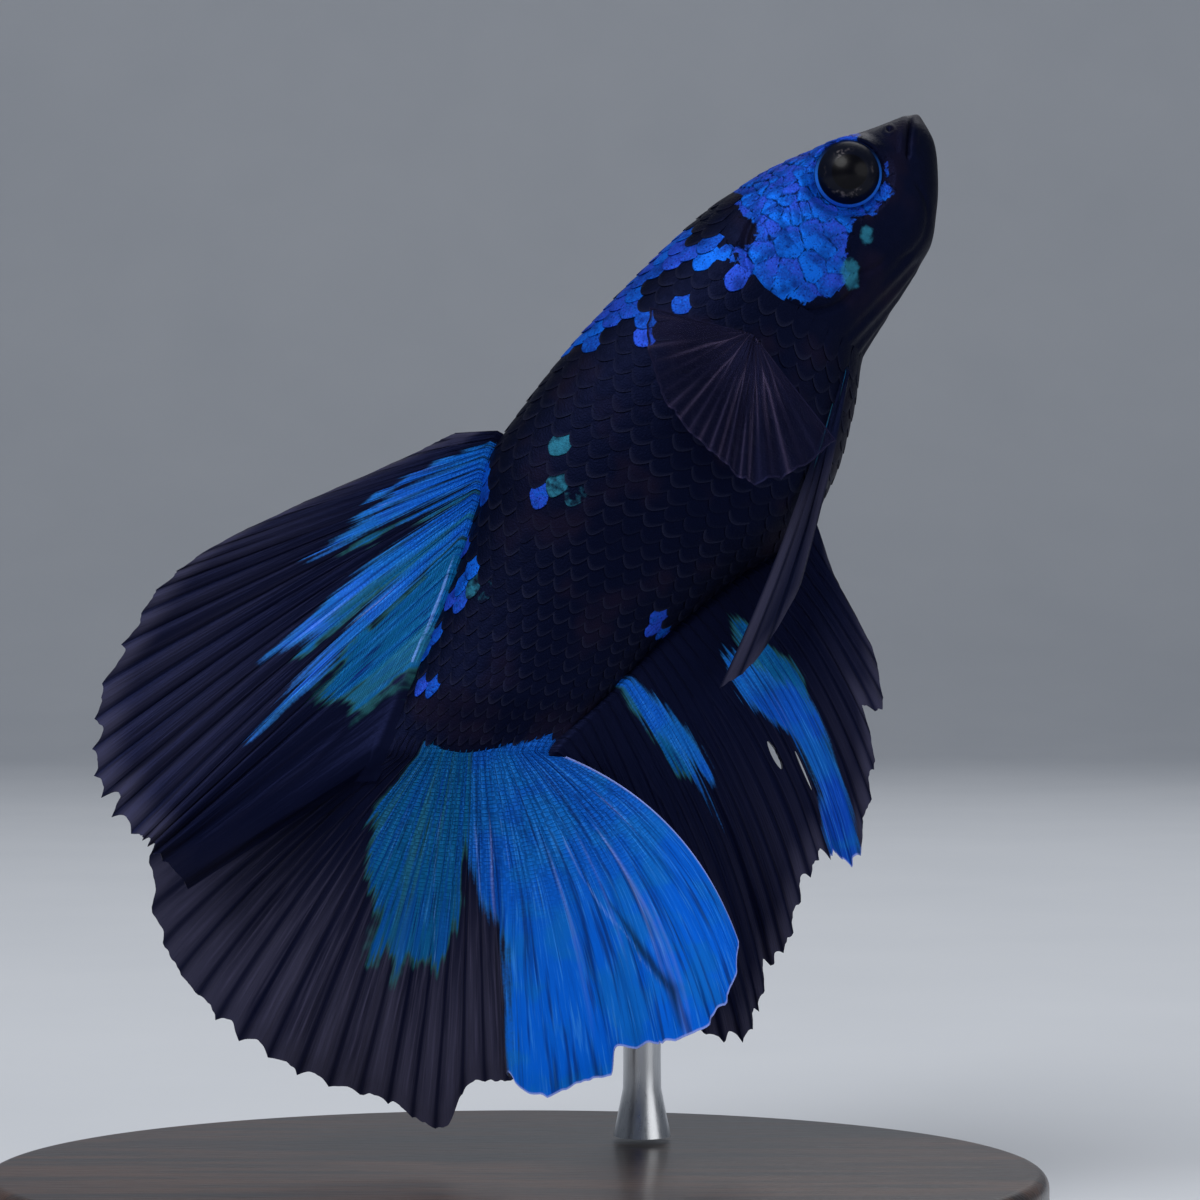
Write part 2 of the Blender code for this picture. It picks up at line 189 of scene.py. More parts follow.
def hull(along, angle):
    """A point of the body's surface: angle 0 is the left flank, 90 degrees the back."""
    along, angle = np.broadcast_arrays(np.asarray(along, float), angle)
    back, belly, half_width, fullness = table(STATIONS, along)
    tip = np.sqrt(1 - np.clip((along - SNOUT_ROUNDING) / SNOUT_CAP, 0, 1) ** 3)
    thin = TAIL_THIN + (1 - TAIL_THIN) * ease(-0.7, 4.6, along + 0.9 * np.cos(angle) ** 2)
    half_height = np.maximum((back - belly) / 2 - COAT_DEPTH, 0.2) * tip
    half_width = np.maximum(half_width - COAT_DEPTH, 0.15) * tip * thin
    middle = (back + belly) / 2
    height = middle + half_height * signed_power(np.sin(angle), 2 / fullness)
    return on_section(along, height, half_width * signed_power(np.cos(angle), 2 / fullness))


def outward(along, angle):
    """Unit normals of the body's surface."""
    reach, turn = 0.05, 0.01
    ahead = hull(along + reach, angle) - hull(along - reach, angle)
    round_it = hull(along, angle + turn) - hull(along, angle - turn)
    return unit(np.cross(round_it, ahead))


def place(points):
    """From the fish's frame in mm to the world in metres."""
    along, side, up = np.moveaxis(np.asarray(points, float), -1, 0)
    x = TAIL_BASE[0] + along * math.cos(PITCH) - up * math.sin(PITCH)
    z = TAIL_BASE[1] + along * math.sin(PITCH) + up * math.cos(PITCH)
    return np.stack([x, side, z], -1) * MM


# ---------------- mesh helpers
def put(name, data):
    """A new object in the scene."""
    made = bpy.data.objects.new(name, data)
    scene.collection.objects.link(made)
    return made


def mesh_of(name, points, faces, finish):
    mesh = bpy.data.meshes.new(name)
    mesh.from_pydata(points, [], [tuple(face) for face in faces])
    mesh.materials.append(finish)
    mesh.shade_smooth()
    return mesh


def piece(name, points, faces, finish, stands_for=(), fields=None, world=False):
    """A smooth-shaded object that rides on the model. points are in the fish's frame, in mm."""
    corners = np.asarray(points if world else place(points)).reshape(-1, 3)
    mesh = mesh_of(name, corners.tolist(), faces, finish)
    for field, values in (fields or {}).items():
        is_vector = values.ndim > 1 and values.shape[-1] == 3
        data = mesh.attributes.new(field, "FLOAT_VECTOR" if is_vector else "FLOAT", "POINT").data
        data.foreach_set("vector" if is_vector else "value", values.astype(float).ravel())
    mesh.set_sharp_from_angle(angle=SHARP_EDGE)
    made = put(name, mesh)
    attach(made, "root")
    if stands_for:
        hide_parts(*stands_for)
    return made


def grid_faces(rows, columns, closed=False):
    """Quads over a grid numbered row by row; `closed` joins its last column to the first."""
    i, k = np.meshgrid(np.arange(rows - 1), np.arange(columns if closed else columns - 1), indexing="ij")
    a, b = i * columns + k, i * columns + (k + 1) % columns
    return np.stack([a, b, b + columns, a + columns], -1).reshape(-1, 4)


def ringed_faces(rings, sides, flip=False):
    """Faces over a row of closed rings, with a lid at either end."""
    lids = [list(range(sides))[::-1], list(range((rings - 1) * sides, rings * sides))]
    faces = grid_faces(rings, sides, closed=True).tolist() + lids
    return [face[::-1] for face in faces] if flip else faces


PATCH_SIZE = 0.003  # of one scale on the map that scales and skin share


def map_height(along):
    """How far up it a place along the fish lies; across, it is the angle round the body."""
    return (along + 2) / 46


def add_map(made, corners):
    """Adds that map: one (u, v) for each face corner."""
    layer = made.data.uv_layers.new(name="OFBake")
    layer.data.foreach_set("uv", np.asarray(corners, float).ravel())


# ---------------- markings
# edges of the blue patches on a flank: along, up
FACE_PATCH = ((39.1, 1.5), (38.2, 1.4), (37.4, 2.2), (36.3, 2.6), (35.1, 1.4), (35.2, 0.2), (36.3, -0.9),
              (37.5, -0.95), (38.5, -0.5), (38.1, -0.95), (37.2, -1.6), (36.3, -1.5), (35.5, -1.5),
              (34.7, -0.8), (33.8, -1.2), (32.7, -1.45), (32.3, -2.5), (30.9, -2.35), (29.7, -1.35),
              (29.1, 0), (28.85, 1.6), (29.3, 2.95), (30.05, 3.6), (30.75, 2.9), (31.7, 3),
              (31.6, 3.8), (31.9, 4.6), (32.6, 6.4), (36, 5.6), (38.6, 3.6))
NAPE_PATCH = ((30.5, 7.4), (29.35, 6.3), (29, 6.1), (28.2, 5), (27.6, 5.7), (26.9, 5.7), (26.3, 6.2),
              (25.75, 6.15), (25.65, 6.4), (25.8, 8.4), (28, 8.2))
GILL_STRIP = ((28.7, 5.65), (30.1, 3.7), (29.2, 3.1), (28.9, 3.3), (28.35, 2.6), (27.8, 2.7), (28, 3.3),
              (28.8, 3.5), (28.15, 4.95))
BACK_PATCH = ((24.9, 8.4), (24.85, 6.7), (24.45, 6.3), (24.25, 5.5), (23.9, 5.5), (23.35, 6.1), (22.8, 6.2),
              (22.35, 6.65), (21.5, 6.7), (21, 7.2), (20.4, 8), (20.3, 9.2))
PATCHES = (FACE_PATCH, NAPE_PATCH, GILL_STRIP, BACK_PATCH)
# lone blue scales and rows of them: along, up and half width at one end, then at the other
BLUE_SPOTS = (
    (25.75, 3.8, 0.5, 25.95, 3.7, 0.5), (22.6, 5.2, 0.45, 22.8, 5.1, 0.4),
    (14.8, 6.6, 0.38, 14.9, 6.5, 0.38), (13.1, 4.6, 0.35, 13.2, 4.6, 0.35),
    (12.5, 8, 0.3, 12.3, 7.9, 0.3), (11.4, 7.9, 0.35, 11.2, 7.7, 0.3), (10.1, 7.5, 0.3, 9.9, 7.4, 0.3),
    (8.8, 7, 0.3, 8.6, 6.9, 0.3), (7.3, 5.9, 0.4, 7, 5.7, 0.4), (5.9, 6, 0.4, 5.5, 5.3, 0.45),
    (3.9, 5.4, 0.3, 2.9, 5.2, 0.3), (1.4, 4.3, 0.4, 1.3, 4.2, 0.4), (11.3, -3.7, 0.35, 10.7, -5, 0.4),
)
TEAL_SPOTS = (
    (32.4, -2.1, 0.5, 31.9, -2.6, 0.4), (34.6, -1.8, 0.32, 34.3, -1.9, 0.28),
    (15.9, 5.6, 0.35, 15.7, 5.5, 0.35), (13.9, 4.1, 0.3, 13.7, 3.6, 0.3), (7.2, 4.9, 0.35, 7, 4.8, 0.35),
)


def nearest_on(along, up, a0, u0, a1, u1):
    """How far along a straight edge a point's nearest place lies, 0 to 1, and its distance."""
    run = (a1 - a0) ** 2 + (u1 - u0) ** 2
    share = np.clip(((along - a0) * (a1 - a0) + (up - u0) * (u1 - u0)) / run, 0, 1)
    return share, np.hypot(along - a0 - share * (a1 - a0), up - u0 - share * (u1 - u0))


def inside(along, up, loop):
    """Distance in from the edge of a loop, in mm; negative outside it."""
    along, up = np.broadcast_arrays(np.asarray(along, float), np.asarray(up, float))
    nearest = np.full(along.shape, 1e9)
    within = np.zeros(along.shape, bool)
    for (a0, u0), (a1, u1) in zip(loop, loop[1:] + loop[:1]):
        nearest = np.minimum(nearest, nearest_on(along, up, a0, u0, a1, u1)[1])
        if u0 != u1:
            within ^= ((u0 > up) != (u1 > up)) & (along < a0 + (up - u0) * (a1 - a0) / (u1 - u0))
    return np.where(within, nearest, -nearest)


def near_spots(along, up, spots):
    """The same for round spots and rows of them."""
    deepest = np.full(np.shape(along), -9.0)
    for a0, u0, w0, a1, u1, w1 in spots:
        share, gap = nearest_on(along, up, a0, u0, a1, u1)
        deepest = np.maximum(deepest, w0 + share * (w1 - w0) - gap)
    return deepest


def wavy(along, up, side):
    """Shifts places on the left flank, so that the sides do not mirror each other exactly."""
    shift = np.where(np.asarray(side) > 0, 0.3, 0)
    return along + shift * np.sin(1.9 * up + 1), up + shift * np.sin(1.3 * along)


def blue_depth(along, up, side):
    """Distance in from the edge of the nearest blue patch."""
    along, up = wavy(along, up, side)
    return np.maximum.reduce([inside(along, up, loop) for loop in PATCHES]
        + [near_spots(along, up, BLUE_SPOTS)])


def teal_depth(along, up, side):
    return near_spots(*wavy(along, up, side), TEAL_SPOTS)


# how far a streak's edge wanders, as a share of the fin's spread
# two kinds are painted light: the pale highlight lines, and a dark shadow in the tail's crease
RAGGED = {"blue": 0.02, "teal": 0.02, "pale": 0.006, "crease_shadow": 0.006}
STREAK_END = 0.05  # how far a streak fades beyond its ends


def streaked(t, reach, streaks, ragged):
    """How deep a point of a fin lies in a streak: above 1 well inside, 0 at its edge, below 0 outside."""
    deepest = np.full(np.shape(t), -9.0)
    stations = [np.reshape(streak, (-1, 3)) / 1000 for streak in streaks]
    for (t0, r0, w0), (t1, r1, w1) in [pair for line in stations for pair in zip(line, line[1:])]:
        share = np.clip((reach - r0) / (r1 - r0), 0, 1)
        depth = (w0 + share * (w1 - w0) - np.abs(t - t0 - share * (t1 - t0))) / ragged
        beyond = np.maximum(0, reach - r1) + np.maximum(0, r0 - reach)
        deepest = np.maximum(deepest, np.minimum(depth, 1.5) - beyond / STREAK_END)
    return np.maximum(deepest, -2)


# ---------------- materials
def tint(red, green, blue):
    """A colour given as on screen, 0 to 255, as the shader wants it."""
    screen = np.divide((red, green, blue), 255).tolist()
    return (*(c / 12.92 if c <= 0.04045 else ((c + 0.055) / 1.055) ** 2.4 for c in screen), 1)


BLACK = tint(2, 4, 16)
BLACK_WARM = tint(15, 10, 19)
SCALE_EDGE = tint(27, 29, 43)
ROYAL = tint(20, 68, 164)
VIOLET = tint(38, 70, 186)
AZURE = tint(4, 98, 216)
SKY = tint(60, 150, 240)
DEEP = tint(8, 32, 98)
TEAL = tint(10, 94, 148)
GREEN = tint(46, 112, 112)
LAVENDER = tint(140, 156, 222)
SMOKE = tint(50, 49, 64)
RAY_GREY = tint(66, 64, 84)
SHEEN = tint(120, 140, 255)  # of the light thrown back by dark skin
BEAD_WORN = (0.75, 0.75, 0.75, 1)  # what the beads fade to further out


class Value:
    """A node's output. Each method passes it through one more node."""

    def __init__(self, make, socket):
        self.make, self.socket = make, socket

    def maths(self, operation, other):
        return self.make.node("Math", {0: self, 1: other}, operation=operation)

    def __add__(self, other):
        return self.maths("ADD", other)

    def __mul__(self, other):
        return self.maths("MULTIPLY", other)

    def or_more(self, other):
        return self.maths("MAXIMUM", other)

    def times(self, vector):
        return self.make.node("VectorMath", {0: self, 1: vector}, operation="MULTIPLY")

    def ramp(self, low, high):
        """0 at low, 1 at high, smooth in between."""
        return self.make.node("MapRange", {"Value": self, "From Min": low, "From Max": high},
            interpolation_type="SMOOTHSTEP")

    def scaled(self, low, high):
        """A value of 0 to 1 as one of low to high."""
        return self.make.node("MapRange", {"Value": self, "To Min": low, "To Max": high})

    def noise(self, scale=1, detail=2):
        return self.make.node("TexNoise", {"Vector": self, "Scale": scale, "Detail": detail})

    def cells(self):
        inputs = {"Vector": self, "Scale": 1, "Randomness": 0.45}
        return self.make.node("TexVoronoi", inputs, "Distance", feature="DISTANCE_TO_EDGE")


class Recipe:
    """A node material in the making."""

    def __init__(self, name):
        self.material = bpy.data.materials.new(name)
        self.material.use_nodes = True
        self.tree = self.material.node_tree

    def node(self, kind, inputs=(), output=0, **settings):
        made = self.tree.nodes.new("ShaderNode" + kind)
        for key, value in settings.items():
            setattr(made, key, value)
        for socket, value in dict(inputs).items():
            self.feed(made.inputs[socket], value)
        return Value(self, made.outputs[output])

    def feed(self, socket, value):
        if isinstance(value, Value):
            self.tree.links.new(value.socket, socket)
        else:
            socket.default_value = value

    def field(self, name, output="Fac"):
        return self.node("Attribute", output=output, attribute_name=name)

    def position(self):
        return self.node("TexCoord", output="Object")

    def body_place(self):
        """Places in mm, turned so that x runs along the fish."""
        turned = self.node("VectorRotate", {"Vector": self.position(), "Angle": PITCH},
            rotation_type="Y_AXIS")
        return turned.times((1 / MM, 1 / MM, 1 / MM))

    def mix(self, share, first, second):
        return self.node("Mix", {0: share, 6: first, 7: second}, 2, data_type="RGBA")

    def layers(self, colour, *layers):
        """Lays colours over a first one, each by its share."""
        for share, over in layers:
            colour = self.mix(share, colour, over)
        return colour

    def bump(self, height, distance, *below):
        """A relief in mm, over another one if that is given."""
        inputs = {"Height": height, "Distance": distance * MM, **{"Normal": normal for normal in below}}
        return self.node("Bump", inputs)

    def finish(self, **sockets):
        for name, value in sockets.items():
            self.feed(self.tree.nodes["Principled BSDF"].inputs[name.replace("_", " ")], value)
        return self.material


def hide_material():
    """Skin and scales: black with patches of iridescent blue, split by fine dark cracks."""
    make = Recipe("betta_hide")
    where = make.body_place()
    fine, broad = where.noise(2.6, 4), where.noise(0.35)
    grit, stain = where.noise(9, 3), where.noise(1.1, 3)
    blue_share = (make.field("blue") + fine.scaled(-0.3, 0.3)).ramp(-0.03, 0.05)
    teal_share = (make.field("teal") + fine.scaled(-0.35, 0.35)).ramp(-0.12, 0.18)
    # the tone field holds a random tone, and on the head's plates also a painted highlight across each plate
    tone_and_highlight = make.field("tone_and_highlight") + fine.scaled(-0.5, 0.5)
    blue = make.layers(tint(16, 96, 206), (tone_and_highlight.ramp(0.05, 0.45), ROYAL), (tone_and_highlight.ramp(0.5, 0.9), VIOLET),
        (grit.ramp(0.5, 0.78) * 0.7, AZURE), (grit.ramp(0.46, 0.28), DEEP),
        (stain.ramp(0.5, 0.72) * 0.65, DEEP))
    black = make.layers(BLACK, (broad.ramp(0.48, 0.72), BLACK_WARM), (make.field("rim"), SCALE_EDGE))
    colour = make.layers(black, (blue_share, blue), (teal_share * fine.scaled(0.3, 1), tint(44, 118, 144)))
    fissure = make.field("crack") + fine.scaled(-0.07, 0.07)
    colour = make.mix(fissure.ramp(0, 0.05).scaled(0.12, 1), BLACK, colour)
    normal = make.bump(fissure.ramp(-0.02, 0.08), 0.04, make.bump(grit, 0.03))
    return make.finish(Base_Color=colour, Metallic=blue_share.or_more(teal_share).scaled(0, 0.45),
        Roughness=fine.scaled(0.4, 0.66), Normal=normal, Specular_IOR_Level=0.15, Specular_Tint=SHEEN)


def fin_material(name, dark, ray, near_root, near_edge, beaded=0.12, lit=0.25, haze=0.25):
    """Dark membrane with paler rays, and iridescent streaks that run out along them; painted highlights and
    a painted crease shadow too.
    """
    make = Recipe(name)
    fan, where = make.field("fan", "Vector"), make.body_place()
    thread = fan.times((4, 0.14, 1)).noise(detail=3)
    hair = fan.times((12, 0.3, 1)).noise(detail=3)
    single = fan.times((1.1, 0.05, 1)).noise(detail=1)
    cloud, grain = where.noise(0.42, 3), where.noise(7, 3)
    outer, bone, border = make.field("outer"), make.field("ray"), make.field("border")
    beads = fan.times((2, 4.6, 1)).cells().ramp(0.02, 0.26)
    beads = make.mix(outer * 1.5, beads, BEAD_WORN)
    blue_edge = make.field("blue") + thread.scaled(-2, 2) + grain.scaled(-0.3, 0.3)
    teal_edge = make.field("teal") + thread.scaled(-2, 2) + cloud.scaled(-1.5, 1.5)
    blue_share, teal_share = blue_edge.ramp(-0.3, 0.7), teal_edge.ramp(-0.3, 0.9)
    shiny = blue_share.or_more(teal_share)
    smoky = outer.maths("POWER", 2.5) * single.scaled(-0.9 * haze, 2.6 * haze)
    base = make.layers(dark, (smoky, SMOKE), (bone * outer.scaled(0.12, 1) * hair.ramp(0.3, 0.75), ray),
        (border.ramp(2.4, 0) * outer.ramp(0.1, 0.6), SMOKE),
        (make.field("stem") * outer.ramp(0.35, 0.8) * 0.9, dark))
    # painted highlight: a lavender shine on a few lone rays, fading out towards the edge
    ray_highlight = single.ramp(0.58, 0.66) * outer.scaled(0.7, 0.15) * outer.ramp(0, 0.12)
    shine = make.layers(near_root, (outer, near_edge), (cloud.ramp(0.46, 0.62) * 0.4, tint(18, 112, 178)),
        (hair.ramp(0.52, 0.72) * 0.55, SKY), (thread.ramp(0.5, 0.32) * 0.7, DEEP), (ray_highlight * bone, LAVENDER),
        (blue_edge.ramp(1, 0.1) * 0.3, GREEN))
    green = make.layers(DEEP, (hair.ramp(0.3, 0.48), TEAL), (single.ramp(0.52, 0.62) * 0.4, GREEN),
        (thread.ramp(0.46, 0.6) * lit, near_root), (hair.ramp(0.56, 0.75) * lit, SKY),
        (teal_share.ramp(0.95, 0.35), GREEN))
    colour = make.layers(base, (teal_share * 0.92, green), (blue_share, shine))
    # painted highlights: thin pale lines along some rays and beside the tail's fold
    pale = (make.field("pale") + hair.scaled(-1.2, 1.2)).ramp(0, 1)
    # painted shadow: a dark line where the tail's lower half creases
    crease_shadow = (make.field("crease_shadow") + thread.scaled(-1.2, 1.2)).ramp(-0.6, 1.4)
    colour = make.layers(colour, (shiny * beaded, colour.times(beads)), (pale * 0.55, tint(110, 150, 226)),
        (crease_shadow * 0.85, tint(12, 30, 44)), (blue_share * border.ramp(0.14, 0.05) * 0.8, LAVENDER))
    normal = make.bump(shiny * (beads * 0.5), 0.04, make.bump(hair, 0.05))
    return make.finish(Base_Color=colour, Metallic=shiny.scaled(0, 0.35),
        Roughness=grain.scaled(0.4, 0.62), Normal=normal, Specular_IOR_Level=0.22, Specular_Tint=SHEEN)


def clear_fin_material():
    """Smoky fins that let the flank show through between their rays."""
    make = Recipe("betta_fin_clear")
    fan, bone, outer = make.field("fan", "Vector"), make.field("ray"), make.field("outer")
    hair = fan.times((9, 0.4, 1)).noise(detail=3)
    # painted highlight: a purple-grey sheen on a few lone rays, strongest towards the root
    ray_highlight = fan.times((0.9, 0.12, 1)).noise(detail=1).ramp(0.42, 0.62)
    seen = bone * ray_highlight * outer.scaled(0.9, 0.35) * hair.scaled(0.3, 1)
    cover = bone.scaled(0.2, 0.5).or_more(make.field("border").ramp(0.25, 0))
    return make.finish(Base_Color=make.mix(seen, tint(18, 16, 32), tint(104, 92, 122)),
        Roughness=hair.scaled(0.35, 0.6), Alpha=cover.or_more(outer.scaled(0.8, 0)),
        Normal=make.bump(hair, 0.04), Specular_IOR_Level=0.2, Specular_Tint=SHEEN)


def eye_material():
    """A black pupil, a dark iris with a few glints, and a blue rim, brightest below."""
    make = Recipe("betta_eye")
    out, where = make.field("rho"), make.body_place()
    grain = where.noise(5, 3)
    glint = where.noise(1.1, 1).ramp(0.52, 0.62) * grain.ramp(0.45, 0.62)
    iris = out.ramp(0.92, 1.02) * out.ramp(1.42, 1.25)
    ring = out.ramp(1.64, 1.7) * out.ramp(1.84, 1.79) * make.field("low").ramp(-0.7, 0.3)
    colour = make.layers(tint(1, 1, 6), (out.ramp(0.9, 1), tint(5, 8, 22)),
        (glint * iris, tint(70, 66, 70)), (ring, tint(40, 112, 214)),
        (out.ramp(1.8, 1.84), tint(10, 30, 78)))
    return make.finish(Base_Color=colour, Roughness=grain.scaled(0.28, 0.4), Coat_Weight=0.06,
        Coat_Roughness=0.15, Specular_IOR_Level=0.1)


def wood_material():
    make = Recipe("stand_dark_wood")
    where = make.position()
    grain = where.times((60, 900, 900)).noise(detail=6)
    pore = where.times((400, 5000, 5000)).noise()
    colour = make.layers(tint(34, 24, 20), (grain.ramp(0.35, 0.65), tint(74, 50, 36)),
        (pore.ramp(0.58, 0.7), tint(22, 15, 12)))
    return make.finish(Base_Color=colour, Roughness=grain.scaled(0.3, 0.45), Normal=make.bump(pore, 0.04),
        Coat_Weight=0.4, Coat_Roughness=0.2)


def steel_material():
    make = Recipe("stand_brushed_steel")
    brushed = make.position().times((9000, 9000, 300)).noise()
    return make.finish(Base_Color=make.mix(brushed, tint(168, 170, 174), tint(206, 208, 210)), Metallic=1,
        Roughness=brushed.scaled(0.22, 0.38))


def floor_material():
    make = Recipe("studio_floor")
    mottle = make.position().noise(30, 3)
    return make.finish(Base_Color=make.mix(mottle, tint(206, 210, 216), tint(216, 219, 224)),
        Roughness=0.9)


# ---------------- plates on the head
PLATES_FROM = (29.6, -9.6)  # along, up of the first
PLATES_TO = (41.5, 11)
GILL_PLATES = [(30.4, 2.6), (31.9, 1.5), (30.1, 0.4), (31.5, -0.6), (31.2, -1.9), (32.9, 0.7)]
GILL_PLATE_REACH = 1  # the large plates on the gill cover keep the others this far off


def plate_centres():
    """Loosely packed places on the side of the head, with large plates on the gill cover."""
    chance = np.random.default_rng(7)
    centres = list(GILL_PLATES)
    for along in np.arange(PLATES_FROM[0], PLATES_TO[0], PLATE_SIZE):
        for up in np.arange(PLATES_FROM[1], PLATES_TO[1], PLATE_SIZE):
            spot = np.array([along, up]) + chance.uniform(-0.42, 0.42, 2) * PLATE_SIZE
            if min(math.dist(spot, centre) for centre in GILL_PLATES) > GILL_PLATE_REACH:
                centres.append(tuple(spot))
    return np.array(centres)


def over_surface(along, side, up, angle):
    """Height as measured over the surface, so that plates keep their shape on crown and throat."""
    half_width = table(STATIONS, along)[2] - COAT_DEPTH
    return up + np.sign(np.sin(angle)) * np.maximum(half_width - np.abs(side), 0)


def plates(along, up):
    """The middle of the plate that each point lies on, and the distance to its border."""
    centres = plate_centres()
    gaps = np.linalg.norm(np.stack([along, up], -1).reshape(-1, 1, 2) - centres, axis=-1)
    order = np.argsort(gaps, axis=1)[:, :2]
    first, second = np.take_along_axis(gaps, order, 1).T
    return centres[order[:, 0]].reshape(*along.shape, 2), ((second - first) / 2).reshape(along.shape)


# ---------------- skin
def mouth_line(along, up):
    """Distance above the slit of the mouth, and how far along it a point lies, 0 to 1."""
    run = np.subtract(MOUTH_TIP, MOUTH_CORNER)
    length = np.hypot(*run)
    share = ((along - MOUTH_CORNER[0]) * run[0] + (up - MOUTH_CORNER[1]) * run[1]) / length ** 2
    above = ((up - MOUTH_CORNER[1]) * run[0] - (along - MOUTH_CORNER[0]) * run[1]) / length
    return above - 0.16 * np.sin(np.pi * np.clip(share, 0, 1)), share


def relief(along, side, up, edge_of_plate, behind):
    """How far the skin stands out from the plain body, in mm."""
    blue = ease(-0.2, 0.2, blue_depth(along, up, side))
    height = 0.05 * blue * np.clip(behind, -0.6, 0.6)
    # gill cover, the rim in front of it, cracks between plates
    rim, past = away(along, up, GILL, GILL_RADII), along - GILL[0]
    flank = ease(0.8, 2, np.abs(side))
    cover = (0.06 + 0.1 * (1 - rim ** 2)) * ease(1.03, 0.97, rim) - 0.16 * bell(rim - 1.07, 0.06)
    height += ease(1.4, -0.8, past - 0.25 * np.abs(up - GILL[1])) * flank * cover
    cheek = away(along, up, CHEEK_RIM, CHEEK_RADII)
    height -= 0.08 * bell(cheek - 1, 0.045) * ease(0.4, -0.6, along - CHEEK_RIM[0]) * flank
    height -= 0.045 * blue * bell(edge_of_plate, 0.06)
    # the mouth's cleft, lips and corner, the jaw's fold, nostrils, throat
    above, share = mouth_line(along, up)
    open_part = ease(-0.06, 0.08, share) * ease(41.75, 41, along)
    height -= 0.2 * bell(above, 0.09) * open_part
    height += 0.07 * (bell(above - 0.34, 0.2) + bell(above + 0.36, 0.22)) * open_part
    height -= 0.08 * bell(np.hypot(share + 0.08, above * 0.5), 0.16)
    jaw_fold = away(along, up, JAW_FOLD) - 2.6
    height -= 0.07 * bell(jaw_fold, 0.16) * ease(-2.2, -2.8, up) * ease(34, 35, along)
    nostril = away(along, up, NOSTRIL)
    pit = 0.05 * bell(nostril - 0.24, 0.1) - 0.16 * bell(nostril, 0.13)
    height += pit * ease(0.5, 0.9, np.abs(side))
    throat = ease(-3.6, -4.6, up) * ease(28.6, 29.6, along) * ease(35.5, 34.5, along)
    return height + 0.06 * throat * np.sin(5.2 * (up + 0.35 * along) + 9 * np.abs(side) ** 0.5)


def seat_eye(along, side, up):
    """Moves the skin round the eye to the ball, with a low lid fold."""
    out = away(along, up, EYE)
    ball = EYE_DEPTH + np.sqrt(np.clip(EYE_BALL ** 2 - np.minimum(out, EYE_RADIUS) ** 2, 0, None))
    lid = ball + 0.02 + 0.09 * bell(out - EYE_RADIUS - 0.2, 0.13)
    seat = np.where(out < EYE_RADIUS, ball - 0.05 - 0.5 * (EYE_RADIUS - out), lid)
    share = ease(2.65, 1.9, out) * ease(0.3, 1.2, np.abs(side))
    return np.sign(side) * (np.abs(side) * (1 - share) + seat * share)


SKIN_COLUMNS = 264
HEAD_FROM = 28  # along; rows of the skin lie closer from here on


def skin_stations():
    trunk = np.linspace(-0.5, HEAD_FROM, 110)
    head = np.linspace(HEAD_FROM, SNOUT_ROUNDING, 156)[1:]
    tip = SNOUT_ROUNDING + SNOUT_CAP * np.sin(np.linspace(0, 0.5 * math.pi, 14))[1:-1]
    return np.concatenate([trunk, head, tip])[:, None]


def make_skin(finish):
    stations, angle = skin_stations(), turns(SKIN_COLUMNS)[None]
    points = hull(stations, angle)
    along, side, up = (points[..., k].copy() for k in range(3))
    spread = over_surface(along, side, up, angle)
    middle, edge_of_plate = plates(along, spread)
    middle[..., 1] -= spread - up
    behind = (middle[..., 0] - along) / PLATE_SIZE
    points += outward(stations, angle) * relief(along, side, up, edge_of_plate, behind)[..., None]
    points[..., 1] = seat_eye(*np.moveaxis(points, -1, 0))
    here, by_plate = blue_depth(along, up, side), blue_depth(middle[..., 0], middle[..., 1], side)
    blue = np.clip(np.where(np.abs(here) < 0.35, 0.6 * here + 0.4 * by_plate, here), -0.5, 0.5)
    # a random tone for each plate, plus a painted highlight: lighter blue towards each plate's rear, darker
    # violet towards its front
    tone_and_highlight = 0.5 + 0.32 * np.sin(5.1 * middle[..., 0] + 7.7 * middle[..., 1]) - 0.55 * behind
    fields = {"blue": blue, "teal": np.clip(teal_depth(along, up, side), -0.5, 0.5), "tone_and_highlight": tone_and_highlight,
        "crack": np.where(blue > -0.3, edge_of_plate, NO_CRACK), "rim": 0 * blue}
    faces = ringed_faces(len(stations), SKIN_COLUMNS, flip=True)
    made = piece("betta_skin", points, faces, finish,
        ("head", "lower_jaw", "gill_cover_left", "gill_cover_right", "trunk_front", "trunk_rear",
        "tail_stalk"), fields)
    row, column = np.divmod(faces[:-2], SKIN_COLUMNS)
    over_seam = np.ptp(column, axis=1) > 1
    column = np.where(over_seam[:, None] & (column == 0), SKIN_COLUMNS, column)
    flank = np.stack([column / SKIN_COLUMNS, map_height(stations[row, 0])], -1).reshape(-1, 2)
    lid = 0.5 * PATCH_SIZE * np.stack([np.cos(angle[0]), np.sin(angle[0])], -1)
    add_map(made, np.concatenate([flank, lid + (0.5, 0.003), lid[::-1] + (0.5, 0.99)]))


# ---------------- scales
def even_angles(along, shares):
    """Angles at even distances round the section: 0 is the left flank, a quarter the back."""
    turn = np.linspace(-0.5 * math.pi, 2.5 * math.pi, 721)
    run = np.concatenate([[0], np.cumsum(np.linalg.norm(np.diff(hull(along, turn), axis=0), axis=1))])
    start, whole = run[120], run[600] - run[120]
    return np.interp(start + np.asarray(shares) * whole, run, turn)


def is_scaled(along, turn, spot):
    """Scales reach to the crown, and to the gill cover on the flanks."""
    as_far_as = 28.9 + 3.6 * ease(0.62, 0.92, math.sin(turn))
    return along <= as_far_as and away(spot[0], spot[2], GILL, GILL_RADII) >= 1.1


